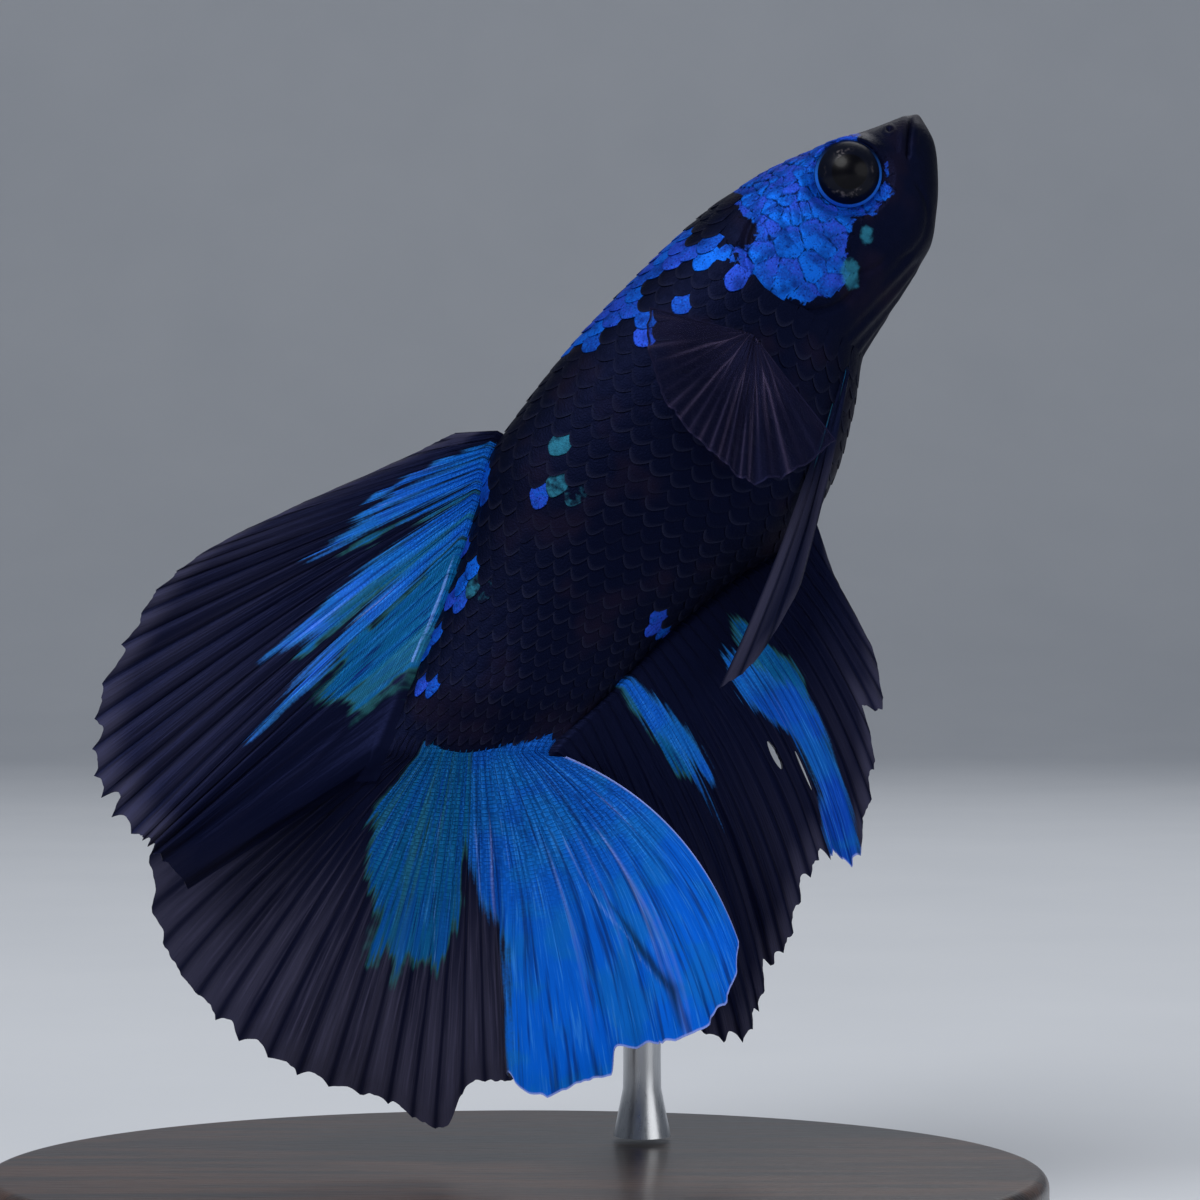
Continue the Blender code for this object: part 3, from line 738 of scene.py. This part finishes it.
def scale_shape(wide, deep):
    """One scale as a grid: x runs -1 to 1 across it, y from its root, 0, to its free edge, 1."""
    across, y = np.meshgrid(np.linspace(-1, 1, wide), 1 - np.linspace(1, 0, deep) ** 1.7, indexing="ij")
    y = y * (1 - SCALE_ROUNDING * across ** 2)
    return across * (0.82 + 0.18 * np.sin(math.pi * np.clip(y * 0.8, 0, 1))), y, across


def scale_faces(wide, deep):
    """A scale's faces, and the points on its rim: its top, walls and underside."""
    grid = np.arange(wide * deep).reshape(wide, deep)
    rim = np.concatenate([grid[0], grid[1:, -1], grid[-1, -2::-1], grid[-2:0:-1, 0]])
    under = wide * deep + np.arange(len(rim))
    walls = np.stack([rim, under, np.roll(under, -1), np.roll(rim, -1)], -1)
    return [*grid_faces(wide, deep), *walls, under[::-1]], rim


def make_scales(finish, name, keep_side):
    chance = np.random.default_rng(11)
    wide, deep = 9, 6
    x, y, across = scale_shape(wide, deep)
    to_edge = 1 - SCALE_ROUNDING * across ** 2 - y
    scale, rim = scale_faces(wide, deep)
    used = np.concatenate([np.arange(x.size), rim])
    points, faces, corners = [], [], []
    fields = {key: [] for key in ("blue", "teal", "tone_and_highlight", "crack", "rim")}
    for row, column in np.ndindex(SCALE_ROWS, SCALE_COLUMNS):
        middle = FIRST_ROW + row * SCALE_PITCH
        share = (column + 0.5 * (row % 2)) / SCALE_COLUMNS
        jitter = chance.uniform(-1, 1, 4)
        turn = float(even_angles(middle, share))
        spot = hull(middle, turn)
        if (spot[1] > swing(middle)) != (keep_side > 0) or not is_scaled(middle, turn, spot):
            continue
        half = 0.54 / SCALE_COLUMNS * (1 + SCALE_UNEVEN * jitter[0])
        length = SCALE_LENGTH * (1 + SCALE_UNEVEN * jitter[1])
        root = middle + SCALE_AHEAD * length
        angles = even_angles(middle, share + half * (x + 0.05 * jitter[2] * y))
        lift = 0.01 + (0.13 + 0.02 * jitter[3]) * y + 0.02 * jitter[2] * x * y
        lift = lift - 0.02 * ease(0.25, 0, to_edge) - 0.012 * across ** 2
        normals = outward(root - length * y, angles)
        upper = hull(root - length * y, angles) + normals * lift[..., None]
        lower = upper - normals * SCALE_THICKNESS
        faces += [(face + len(points) * len(used)).tolist() for face in scale]
        points.append(np.concatenate([upper.reshape(-1, 3), lower.reshape(-1, 3)[rim]]))
        seen = (spot[0] - 0.15, spot[2], spot[1])
        blue = 0.35 if blue_depth(*seen) + 0.12 * jitter[0] > -0.05 else -0.5
        teal = np.clip(teal_depth(*seen) + 0.12 * jitter[1], -0.5, 0.5)
        edge = length * to_edge.ravel()
        values = {"blue": blue, "teal": teal, "tone_and_highlight": 0.5 + 0.5 * jitter[3],
            "crack": 0.02 + edge if max(blue, teal) > 0 else NO_CRACK,
            "rim": bell(edge - 0.03, 0.07) * (0.6 + 0.4 * jitter[2])}
        for key, value in values.items():
            fields[key].append((value + 0 * edge)[used])
        patch = np.stack([turn / (2 * math.pi) + 0.5 * PATCH_SIZE * x.ravel(),
            map_height(root) - PATCH_SIZE * y.ravel()], -1)
        corners.append(patch[used][np.concatenate(scale)])
    made = piece(name, np.concatenate(points), faces, finish,
        fields={key: np.concatenate(values) for key, values in fields.items()})
    add_map(made, np.concatenate(corners))


# ---------------- eyes
def make_eye(name, side, finish, node):
    rings, sides = 48, 72
    polar = np.linspace(0, math.pi, rings + 1)[1:-1, None]
    turn = turns(sides)[None]
    out = EYE_BALL * np.sin(polar) * np.ones_like(turn)
    front = polar < 0.5 * math.pi
    depth = EYE_DEPTH + EYE_BALL * np.cos(polar) + EYE_LENS * bell(out, 1) * front
    ball = np.stack([EYE[0] + out * np.cos(turn), side * depth, EYE[1] + out * np.sin(turn)], -1)
    poles = [(EYE[0], side * (EYE_DEPTH + EYE_BALL + EYE_LENS), EYE[1]),
        (EYE[0], side * (EYE_DEPTH - EYE_BALL), EYE[1])]
    faces, last = grid_faces(rings - 1, sides, closed=True).tolist(), (rings - 1) * sides
    for k in range(sides):
        after = (k + 1) % sides
        faces += [[last, after, k], [last + 1, last - sides + k, last - sides + after]]
    if side < 0:
        faces = [face[::-1] for face in faces]
    rho = np.append(np.where(front, out, 2 * EYE_BALL - out), [0, 2 * EYE_BALL])
    low = (EYE_DOWN[0] * (ball[..., 0] - EYE[0]) + EYE_DOWN[1] * (ball[..., 2] - EYE[1])) / EYE_BALL
    piece(name, np.concatenate([ball.reshape(-1, 3), poles]), faces, finish, (node,),
        {"rho": rho, "low": np.append(low, [0, 0])})


# ---------------- fins
FIN_ROOT_DEPTH = 1.2  # how far a fin runs on inside the body
FIN_GAP = 0.3  # from the body's surface out to the line where a fin's rays start


def along_body(front, rear, side):
    """Where rays start on the back (side 1) or belly (-1); `sunk` is how far inside, in mm."""
    def root_at(t, sunk):
        along = front + (rear - front) * t
        edge = table(STATIONS, along)[0 if side > 0 else 1]
        return on_section(along, edge + side * FIN_GAP - side * sunk, 0)
    return root_at


def across_tail(t, sunk):
    back, belly = (float(value) for value in table(STATIONS, 0)[:2])
    return on_section(sunk - FIN_GAP, back + (belly - back) * t, 0)


def short_root(along, up, side, width):
    def root_at(t, sunk):
        height = up + width * (0.5 - t) + 0 * sunk
        return np.stack([along + 0 * sunk, side - math.copysign(1, side) * sunk, height], -1)
    return root_at


# t, heading, length, side of the tip, bow (negative: towards the head), notch between the rays
ANAL_RAYS = (
    (0, -52, 2.6, 0, 0, 0.1), (0.07, -67, 7.4, -0.1, 0, 0.2), (0.15, -66, 10.4, -0.4, -0.02, 0.4),
    (0.27, -64, 13.2, -0.8, -0.05, 0.4), (0.4, -61, 16.6, -0.6, -0.06, 0.5),
    (0.54, -63.5, 14.9, 0.4, -0.06, 0.6), (0.68, -59.3, 17.6, 1.2, -0.05, 0.9),
    (0.8, -56.8, 19.2, 1.5, -0.05, 0.8), (0.9, -56.2, 20.5, 1.6, -0.04, 0.8),
    (1, -54.5, 18.6, 1.4, -0.03, 0.6), (1.06, -60, 16.6, 1.2, -0.03, 0.4),
    (1.13, -74, 12, 0.6, -0.03, 0.3), (1.17, -86, 10, 0.3, -0.03, 0.3),
)
CAUDAL_RAYS = (
    (0, 42, 13, 1.2, 0.03, 0.4), (0.08, 21.5, 16.4, 0.8, 0.03, 0.4), (0.25, -1.5, 18.8, 0, 0.02, 0.5),
    (0.43, -23.5, 19.9, -0.9, 0, 0.5), (0.515, -30.6, 20.9, -1.3, 0, 0.4),
    (0.54, -32.8, 18.4, -1.5, 0, 0.4), (0.58, -36, 17.9, -2, 0, 0.3),
    (0.612, -38.6, 17.9, -2.4, -0.01, 0.3), (0.635, -40.6, 17.3, -4.9, -0.01, 0.4),
    (0.65, -41.8, 18.1, -5.2, -0.02, 0.4), (0.67, -43.4, 18.5, -5.6, -0.02, 0.4),
    (0.69, -45.1, 18.5, -5.8, -0.02, 0.4), (0.71, -47.2, 18.2, -5.9, -0.03, 0.4),
    (0.75, -52, 17.9, -6.2, -0.04, 0.4), (0.765, -53.9, 16.9, -6.3, -0.05, 0.4),
    (0.87, -64.5, 17.2, -6.8, -0.08, 0.4), (0.94, -72, 16.4, -6.6, -0.1, 0.4),
    (1, -79, 14.2, -6.2, -0.12, 0.3),
)
PECTORAL_RAYS = (
    (0, 69.6, 5.2, 6.2, 0, 0.1), (0.25, 20.3, 5.8, 7, 0, 0.2), (0.5, -16, 6.9, 7.4, 0, 0.2),
    (0.75, -35, 7.9, 7.2, 0, 0.2), (1, -71.4, 6.6, 6.2, 0, 0.1),
)
PELVIC_RAYS = (
    (0, -13.5, 18.8, 2.6, -0.02, 0), (0.5, -16.5, 17, 2.8, -0.02, 0), (1, -21, 12, 3.2, -0.01, 0),
)
# the same for the dorsal fin, with the place on its base where the ray starts put in after t
DORSAL_RAYS = (
    (0, 0, 53, 2.4, -0.3, 0, 0.1), (0.06, 0.02, 46, 3.9, -0.45, 0, 0.2),
    (0.12, 0.05, 41, 6.7, -0.8, 0, 0.2), (0.19, 0.08, 38.5, 10.9, -1.45, 0, 0.3),
    (0.27, 0.12, 36.5, 16, -2.5, 0, 0.3), (0.35, 0.16, 35, 18.2, -3.2, 0, 0.4),
    (0.44, 0.2, 31, 20.6, -4.1, 0, 0.7), (0.54, 0.25, 24.5, 23.7, -5.15, 0.01, 1.1),
    (0.64, 0.3, 19, 25, -5.7, 0.01, 1.2), (0.72, 0.37, 15.5, 24.6, -5.9, 0.01, 1.2),
    (0.8, 0.46, 12, 23.3, -6.1, 0.01, 1), (0.86, 0.6, 12.8, 21.6, -6.1, 0, 0.6),
    (0.92, 0.86, 15.6, 18.8, -6.1, 0, 0.4), (0.96, 1.16, 19.5, 15.2, -5.9, 0, 0.3),
    (1, 1.62, 23, 10.5, -5.4, 0, 0.1),
)

# streaks, each a line of stations along the rays: t, reach, half width in t, in thousandths
DORSAL_STREAKS = {
    "blue": ((130, -100, 22, 185, 260, 10), (210, -100, 55, 238, 260, 40, 318, 420, 8),
        (320, -100, 60, 345, 260, 45, 388, 370, 12), (430, -100, 60, 432, 260, 45, 462, 470, 10),
        (525, -100, 40, 510, 200, 10), (640, -100, 70, 655, 280, 45, 682, 420, 38, 670, 560, 6),
        (755, -100, 38, 785, 300, 32, 810, 480, 28, 824, 670, 6)),
    "teal": ((870, -100, 85, 885, 220, 68, 880, 380, 30), (850, 300, 30, 858, 480, 12),
        (715, -100, 50, 715, 360, 32, 735, 460, 8), (575, -100, 30, 560, 140, 12),
        (500, 100, 20, 500, 360, 12)),
}
CAUDAL_STREAKS = {
    "blue": ((780, -200, 245, 780, 300, 245, 794, 420, 231, 808, 500, 217, 828, 600, 199,
        828, 1200, 199),),
    "teal": ((385, -200, 160, 385, 200, 155, 410, 380, 110, 428, 520, 75), (370, 480, 26, 365, 630, 6),
        (410, 480, 24, 402, 640, 6), (470, 480, 30, 473, 580, 8)),
    # painted highlight lines along some rays and beside the fold
    "pale": ((779, 340, 4, 781, 440, 4, 804, 600, 4, 855, 820, 3),
        (426, 150, 3, 446, 380, 3, 471, 550, 3), (556, 220, 4, 576, 450, 5), (640, 210, 2, 645, 350, 2),
        (320, 160, 2, 335, 400, 2)),
    # painted shadow along the crease in the tail's lower half
    "crease_shadow": ((812, 560, 4, 835, 680, 7, 868, 860, 8, 867, 960, 3),),
}
ANAL_STREAKS = {
    "blue": ((826, -20, 22, 804, 120, 45, 772, 240, 36, 738, 390, 14), (784, 240, 20, 779, 400, 8),
        (779, 400, 7, 783, 560, 2),
        (500, 240, 45, 480, 320, 75, 445, 410, 90, 397, 550, 61, 397, 760, 48, 425, 900, 70, 440, 1100, 55)),
    "teal": ((415, 170, 40, 405, 430, 75), (840, 20, 30, 800, 260, 30)),
}
PELVIC_STREAKS = {
    "teal": ((200, 0, 50, 220, 300, 8), (600, 0, 30, 600, 200, 5)),
}
# tears in the anal fin's edge, as t, half width in t and depth; slits as open_slit() takes them
ANAL_TEARS = ((0.19, 0.045, 2), (0.33, 0.02, 0.6), (0.46, 0.02, 0.9), (0.76, 0.02, 0.9))
ANAL_SLITS = ((0.552, 0.52, 0.64, 0.34), (0.475, 0.6, 0.76, 0.17))


def ridges(phase, reach, branches, width=0.075):
    """1 on a ray and 0 between rays. Each ray forks `branches` times on its way out."""
    offset = phase - np.round(phase)
    near = np.full(np.shape(offset), 9.0)
    first = 0.25 * ease(0.16, 0.42, reach) if branches > 0 else 0 * reach
    second = 0.125 * ease(0.44, 0.7, reach) if branches > 1 else 0 * reach
    for a in (-1, 1):
        for b in (-1, 1):
            near = np.minimum(near, np.abs(offset - a * first - b * second))
    return bell(near, width)


class Fan:
    """A fin as a sheet over the plane (t, reach): t runs from the first ray to the last."""

    def __init__(self, root_at, keys, rays, per_ray, rows, branches=1, tears=(), slits=(), bulge=0,
            ripple=(0, 0, 0), pleat=0.05, fold=None, depth=FIN_ROOT_DEPTH):
        """`rays` are counted from t = 0 to 1; the sheet ends where the key table does."""
        self.rays, self.branches = rays, branches
        last = round(keys[-1][0] * rays)
        t = np.linspace(0, last / rays, last * per_ray + 1)[:, None]
        start, heading, length, tip_side, bow, notch = ([t] if len(keys[0]) == 6 else []) + table(keys, t)
        length = self.ragged_edge(t, length, notch, last)
        for at, width, deep in tears:
            length = length - deep * np.clip(1 - np.abs(t - at) / width, 0, 1)
        reach = -depth / length + (1 + depth / length) * np.linspace(0, 1, rows)[None]
        t, reach = np.broadcast_arrays(t, reach)
        heading = np.radians(heading)
        if fold:
            heading = heading + np.radians(fold(t, reach))
        outer = np.clip(reach, 0, None)
        root = root_at(start + 0 * t, (outer - reach) * length)
        arch = 4 * bow * length * outer * (1 - outer)
        back, up = -np.cos(heading), np.sin(heading)
        side = root[..., 1] + (tip_side - root[..., 1]) * outer ** 1.1 + 4 * bulge * outer * (1 - outer)
        side += ripple[0] * outer ** 2 * np.sin(2 * math.pi * (ripple[1] * t + ripple[2]))
        side += pleat * outer * np.cos(2 * math.pi * t * rays)
        self.middle = np.stack([root[..., 0] + length * outer * back + arch * up, side,
            root[..., 2] + length * outer * up - arch * back], -1)
        self.t, self.reach, self.run = t, reach, reach * length
        self.to_edge = (1 - reach) * length
        self.kept = np.ones(np.subtract(t.shape, 1), bool)
        for slit in slits:
            self.open_slit(*slit)

    def ragged_edge(self, t, length, notch, last):
        """The lengths with a notch in each gap between rays, and a fringe of fine threads."""
        gap = np.clip(np.floor(t * self.rays).astype(int), 0, last - 1)
        between = 2 * (t * self.rays - gap) - 1
        chance = np.random.default_rng(self.rays)
        uneven, lean = chance.uniform(0.2, 1, last)[gap], chance.uniform(-0.6, 0.6, last)[gap]
        length = length - notch * uneven * np.clip(1 - between ** 2, 0, 1) * (1 + lean * between)
        for count, deep in ((2 * self.rays, 0.25), (7 * self.rays, 0.14)):
            fringe = chance.uniform(-deep, 0, count + 1)
            length = length + np.interp(t, np.linspace(0, 1, count + 1), fringe)
        return length

    def open_slit(self, at, start, end, width):
        """Parts the sheet beside the ray at t, from one reach to another."""
        column = round(at / self.t[-1, 0] * len(self.kept))
        past = np.arange(len(self.t))[:, None] - column
        push = np.where(past <= 0, -1.0, 1.0) * np.clip(1 - np.abs(past - 0.5) / 9, 0, 1)
        share = np.clip((self.reach - start) / (end - start), 0, 1)
        push = push * (0.5 * width * np.sin(math.pi * share) ** 0.7)
        self.middle = self.middle + unit(np.gradient(self.middle, axis=0)) * push[..., None]
        self.kept[column, (self.reach[column, :-1] > start) & (self.reach[column, 1:] < end)] = False

    def border(self):
        """Distance from the nearest free edge, in mm."""
        step = np.linalg.norm(np.diff(self.middle, axis=0), axis=-1)
        across = np.pad(np.cumsum(step, axis=0), ((1, 0), (0, 0)))
        return np.minimum.reduce([self.to_edge, across, across[-1] - across])

    def looks(self, streaks, quiet, fold_line):
        """What the material reads. `fold_line` paints a pale highlight line low on the rear rays."""
        t, reach, phase = self.t, self.reach, self.t * self.rays
        looks = {key: streaked(t, reach, streaks.get(key, ()), ragged) for key, ragged in RAGGED.items()}
        low_line = bell(self.run, 0.13) * ease(0.818, 0.832, t) * (t < 0.945)
        looks["pale"] = np.maximum(looks["pale"], 3 * fold_line * low_line - 1)
        return {**looks, "border": self.border(), "fan": np.stack([phase, self.run, 0 * phase], -1),
            "ray": ridges(phase, reach, self.branches), "stem": ridges(phase, reach, 0, 0.17),
            "outer": ease(0.1, 0.85, reach) * (1 - quiet * ease(0.78, 0.9, t))}

    def build(self, name, node, finish, streaks, thickness=(0.38, 0.07), ray_height=0.06,
            quiet=0, fold_line=0):
        """The sheet as a solid; `thickness` is half of it, at the root and at the edge."""
        looks = self.looks(streaks, quiet, fold_line)
        outer = np.clip(self.reach, 0, 1)
        half = thickness[0] + (thickness[1] - thickness[0]) * outer ** 0.6
        half = half + ray_height * looks["ray"] * (1 - 0.6 * outer)
        from_edge = np.minimum(looks["border"], self.run - self.run[:, :1])
        half = half * (0.25 + 0.75 * ease(0, 1.1, from_edge))
        normal = unit(np.cross(*(np.gradient(self.middle, axis=axis) for axis in (0, 1))))
        raised = normal * np.sign(np.mean(normal[..., 1])) * half[..., None]
        top = grid_faces(*self.t.shape)[self.kept.ravel()]
        faces = top.tolist() + (top[:, ::-1] + self.t.size).tolist() + self.walls(*self.t.shape)
        piece(name, np.stack([self.middle + raised, self.middle - raised]), faces, finish, (node,),
            {key: np.concatenate([values] * 2) for key, values in looks.items()})

    def walls(self, columns, rows):
        """Narrow faces that join the two sides all round."""
        held, faces = np.pad(self.kept, 1), []
        for di, dj, first, second in ((-1, 0, (0, 0), (0, 1)), (1, 0, (1, 1), (1, 0)),
                (0, -1, (1, 0), (0, 0)), (0, 1, (0, 1), (1, 1))):
            i, j = np.nonzero(self.kept & ~held[1 + di:columns + di, 1 + dj:rows + dj])
            a, b = ((i + end[0]) * rows + j + end[1] for end in (first, second))
            faces += np.stack([a, b, b + columns * rows, a + columns * rows], -1).tolist()
        return faces


def tail_fold(t, reach):
    """The tail's lower half laps over the upper one, and creases once more further down."""
    lap = ease(0.616, 0.63, t) * ease(0.72, 0.64, t)
    crease = ease(0.828, 0.84, t) * ease(0.9, 0.845, t)
    return 2.6 * lap * ease(0.35, 0.65, reach) + 1.8 * crease * ease(0.45, 0.9, reach)


def sided(keys, side, turn=0):
    """The same fan for either side of the body, turned by `turn` degrees."""
    return [(t, heading + turn, length, side * tip, *rest) for t, heading, length, tip, *rest in keys]


def make_middle_fins():
    night, royal = tint(2, 3, 13), tint(14, 92, 196)
    back = fin_material("betta_back_fin", night, tint(27, 26, 40), royal, tint(56, 116, 232))
    belly = fin_material("betta_belly_fin", night, tint(25, 25, 38), royal, tint(14, 70, 178))
    tail = fin_material("betta_tail", tint(4, 5, 17), RAY_GREY, tint(10, 84, 178), AZURE, 0.42, 0.6, 0.95)
    dorsal = Fan(along_body(15.6, 4.7, 1), DORSAL_RAYS, rays=22, per_ray=16, rows=88, pleat=0.06,
        ripple=(0.5, 2, 0.1))
    dorsal.build("betta_dorsal", "dorsal_fin", back, DORSAL_STREAKS, quiet=0.8,
        fold_line=1)
    anal = Fan(along_body(20.3, 2, -1), ANAL_RAYS, rays=24, per_ray=14, rows=92, tears=ANAL_TEARS,
        slits=ANAL_SLITS, ripple=(0.4, 2.5, 0.2), depth=0.9)
    anal.build("betta_anal", "anal_fin", belly, ANAL_STREAKS)
    caudal = Fan(across_tail, CAUDAL_RAYS, rays=28, per_ray=16, rows=88, branches=2, ripple=(0.5, 3, 0),
        pleat=0.06, fold=tail_fold, depth=2.8)
    caudal.build("betta_caudal", "caudal_fin", tail, CAUDAL_STREAKS)


def make_paired_fins():
    blade = fin_material("betta_fin_blade", tint(2, 4, 14), tint(22, 24, 38), TEAL, TEAL)
    clear = clear_fin_material()
    for name, side in SIDES[::-1]:
        lower = -22 if side > 0 else 0  # the left one is held lower
        pectoral = Fan(short_root(26.3, 0.2, side * 4.95, 1.2), sided(PECTORAL_RAYS, side, lower), rays=11,
            per_ray=12, rows=60, pleat=0.03)
        pectoral.build("betta_pectoral_" + name, "pectoral_fin_" + name, clear, {},
            thickness=(0.3, 0.05), ray_height=0.05)
        pelvic = Fan(short_root(28, -4.9, side * 2.62, 0.6), sided(PELVIC_RAYS, side), rays=3, per_ray=12,
            rows=120, bulge=side * 0.8, pleat=0.04)
        pelvic.build("betta_pelvic_" + name, "pelvic_fin_" + name, blade, PELVIC_STREAKS,
            thickness=(0.3, 0.08), ray_height=0.08)


# ---------------- stand
BASE_SIDES = 192
BASE_BEVEL = 0.8  # of the top edge
BASE_FOOT = 0.3  # how far the base draws in at the floor
BASE_GROOVE = 0.25
ROD_SIDES = 40
ROD_RADIUS = 1.1
ROD_BEND = 4
ROD_RUNS_ON = 0.5  # past its solid's end, into the flank
COLLAR_SHARE = 0.75  # how much wider the collar is than the rod
COLLAR_REACH = 4  # up the rod


def make_base(finish):
    """A turned oval with a small foot, a shallow groove and a rounded top edge."""
    low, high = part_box("stand_base")
    centre, size = (low + high) / 2, (high - low) / 2
    height, bevel, foot = high.z - low.z, BASE_BEVEL * MM, BASE_FOOT * MM
    profile = [(foot, 0), (0, foot), (0, 0.36 * height), (BASE_GROOVE * MM, 0.42 * height),
        (0, 0.48 * height)]
    profile += [(bevel * (1 - math.cos(a)), height - bevel * (1 - math.sin(a)))
        for a in np.linspace(0, 0.5 * math.pi, 8)]
    points = [(centre.x + (size.x - inset) * math.cos(a), centre.y + (size.y - inset) * math.sin(a),
        low.z + z) for inset, z in profile for a in turns(BASE_SIDES)]
    piece("stand_oval", points, ringed_faces(len(profile), BASE_SIDES), finish,
        ("stand_base",), world=True)


def make_rod(finish):
    """Up from the base and bent into the left flank, with a collar at its foot."""
    low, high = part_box("stand_rod")
    radius, bend = ROD_RADIUS * MM, ROD_BEND * MM
    x, y, top = (low.x + high.x) / 2, high.y - radius, high.z - radius
    line = [(x, y, z) for z in np.linspace(low.z, top - bend, 24)]
    line += [(x, y - bend * (1 - math.cos(a)), top - bend + bend * math.sin(a))
        for a in np.linspace(0, 0.5 * math.pi, 14)[1:]]
    line += [(x, v, top) for v in np.linspace(y - bend, low.y - ROD_RUNS_ON * MM, 8)[1:]]
    points = []
    for spot, heading in zip(line, np.gradient(line, axis=0)):
        rise = (spot[2] - low.z) / MM
        wide = float(1 + COLLAR_SHARE * bell(rise - 0.5, 0.8)) if rise < COLLAR_REACH else 0.98
        heading = Vector(heading).normalized()
        across = heading.cross(Vector((1, 0, 0))).normalized()
        other = heading.cross(across).normalized()
        points += [Vector(spot) + radius * wide * (math.cos(a) * across + math.sin(a) * other)
            for a in turns(ROD_SIDES)]
    piece("stand_bar", points, ringed_faces(len(line), ROD_SIDES, flip=True), finish,
        ("stand_rod",), world=True)


# ---------------- studio, in metres and watts
FLOOR_WIDTH, FLOOR_FRONT, BACKDROP_TOP = 1.6, -1.2, 1.6
FLOOR_BACK, FLOOR_CURVE = 0.55, 0.3  # where it starts to curve up, and the curve's radius
WORLD_STRENGTH = 0.22
LAMPS = (("key", (-0.2, -0.32, 0.42), 0.36, 2.4),  # name, place, size, power
         ("fill", (0.36, -0.3, 0.16), 0.4, 0.6),
         ("back", (0.1, 0.3, 0.36), 0.3, 0.5))
CAMERA_LENS = 100
CAMERA_PLACE = (4.59, -182, 34.96)  # in mm


def make_floor():
    """A pale floor that sweeps up behind the model."""
    line = [(FLOOR_FRONT, 0)]
    line += [(FLOOR_BACK + FLOOR_CURVE * math.sin(a), FLOOR_CURVE * (1 - math.cos(a)))
        for a in np.linspace(0, 0.5 * math.pi, 17)]
    line.append((FLOOR_BACK + FLOOR_CURVE, BACKDROP_TOP))
    points = [(x, y, z) for y, z in line for x in (-FLOOR_WIDTH, FLOOR_WIDTH)]
    mesh = mesh_of("studio_floor", points, grid_faces(len(line), 2), floor_material())
    put("studio_floor", mesh)


def make_lights(box_low, box_high):
    """A dim even sky, and three large soft lamps turned to the model."""
    scene.world = bpy.data.worlds.new("studio")
    scene.world.use_nodes = True
    sky = scene.world.node_tree.nodes["Background"].inputs
    sky["Color"].default_value, sky["Strength"].default_value = tint(206, 216, 232), WORLD_STRENGTH
    middle = (Vector(box_low) + Vector(box_high)) / 2
    for name, spot, size, power in LAMPS:
        lamp = bpy.data.lights.new(name, "AREA")
        lamp.shape, lamp.size, lamp.energy = "DISK", size, power
        lit = put(name, lamp)
        lit.location = spot
        lit.rotation_euler = (middle - Vector(spot)).to_track_quat("-Z", "Y").to_euler()
    scene.view_settings.view_transform = "Standard"


def make_camera():
    """Level with the fish, facing its right flank."""
    camera = bpy.data.cameras.new("camera")
    camera.lens, camera.sensor_width, camera.clip_start = CAMERA_LENS, 36, 0.01
    seen = put("camera", camera)
    seen.location = Vector(CAMERA_PLACE) * MM
    seen.rotation_euler = (math.radians(90), 0, 0)
    bpy.context.scene.camera = seen


def main():
    hide, eye = hide_material(), eye_material()
    make_skin(hide)
    for name, side in SIDES:
        make_scales(hide, "betta_scales_" + name, side)
    for name, side in SIDES:
        make_eye("betta_eye_" + name, side, eye, "eye_" + name)
    make_middle_fins()
    make_paired_fins()
    make_base(wood_material())
    make_rod(steel_material())
    make_floor()
    make_lights(*cad_box)
    make_camera()


main()
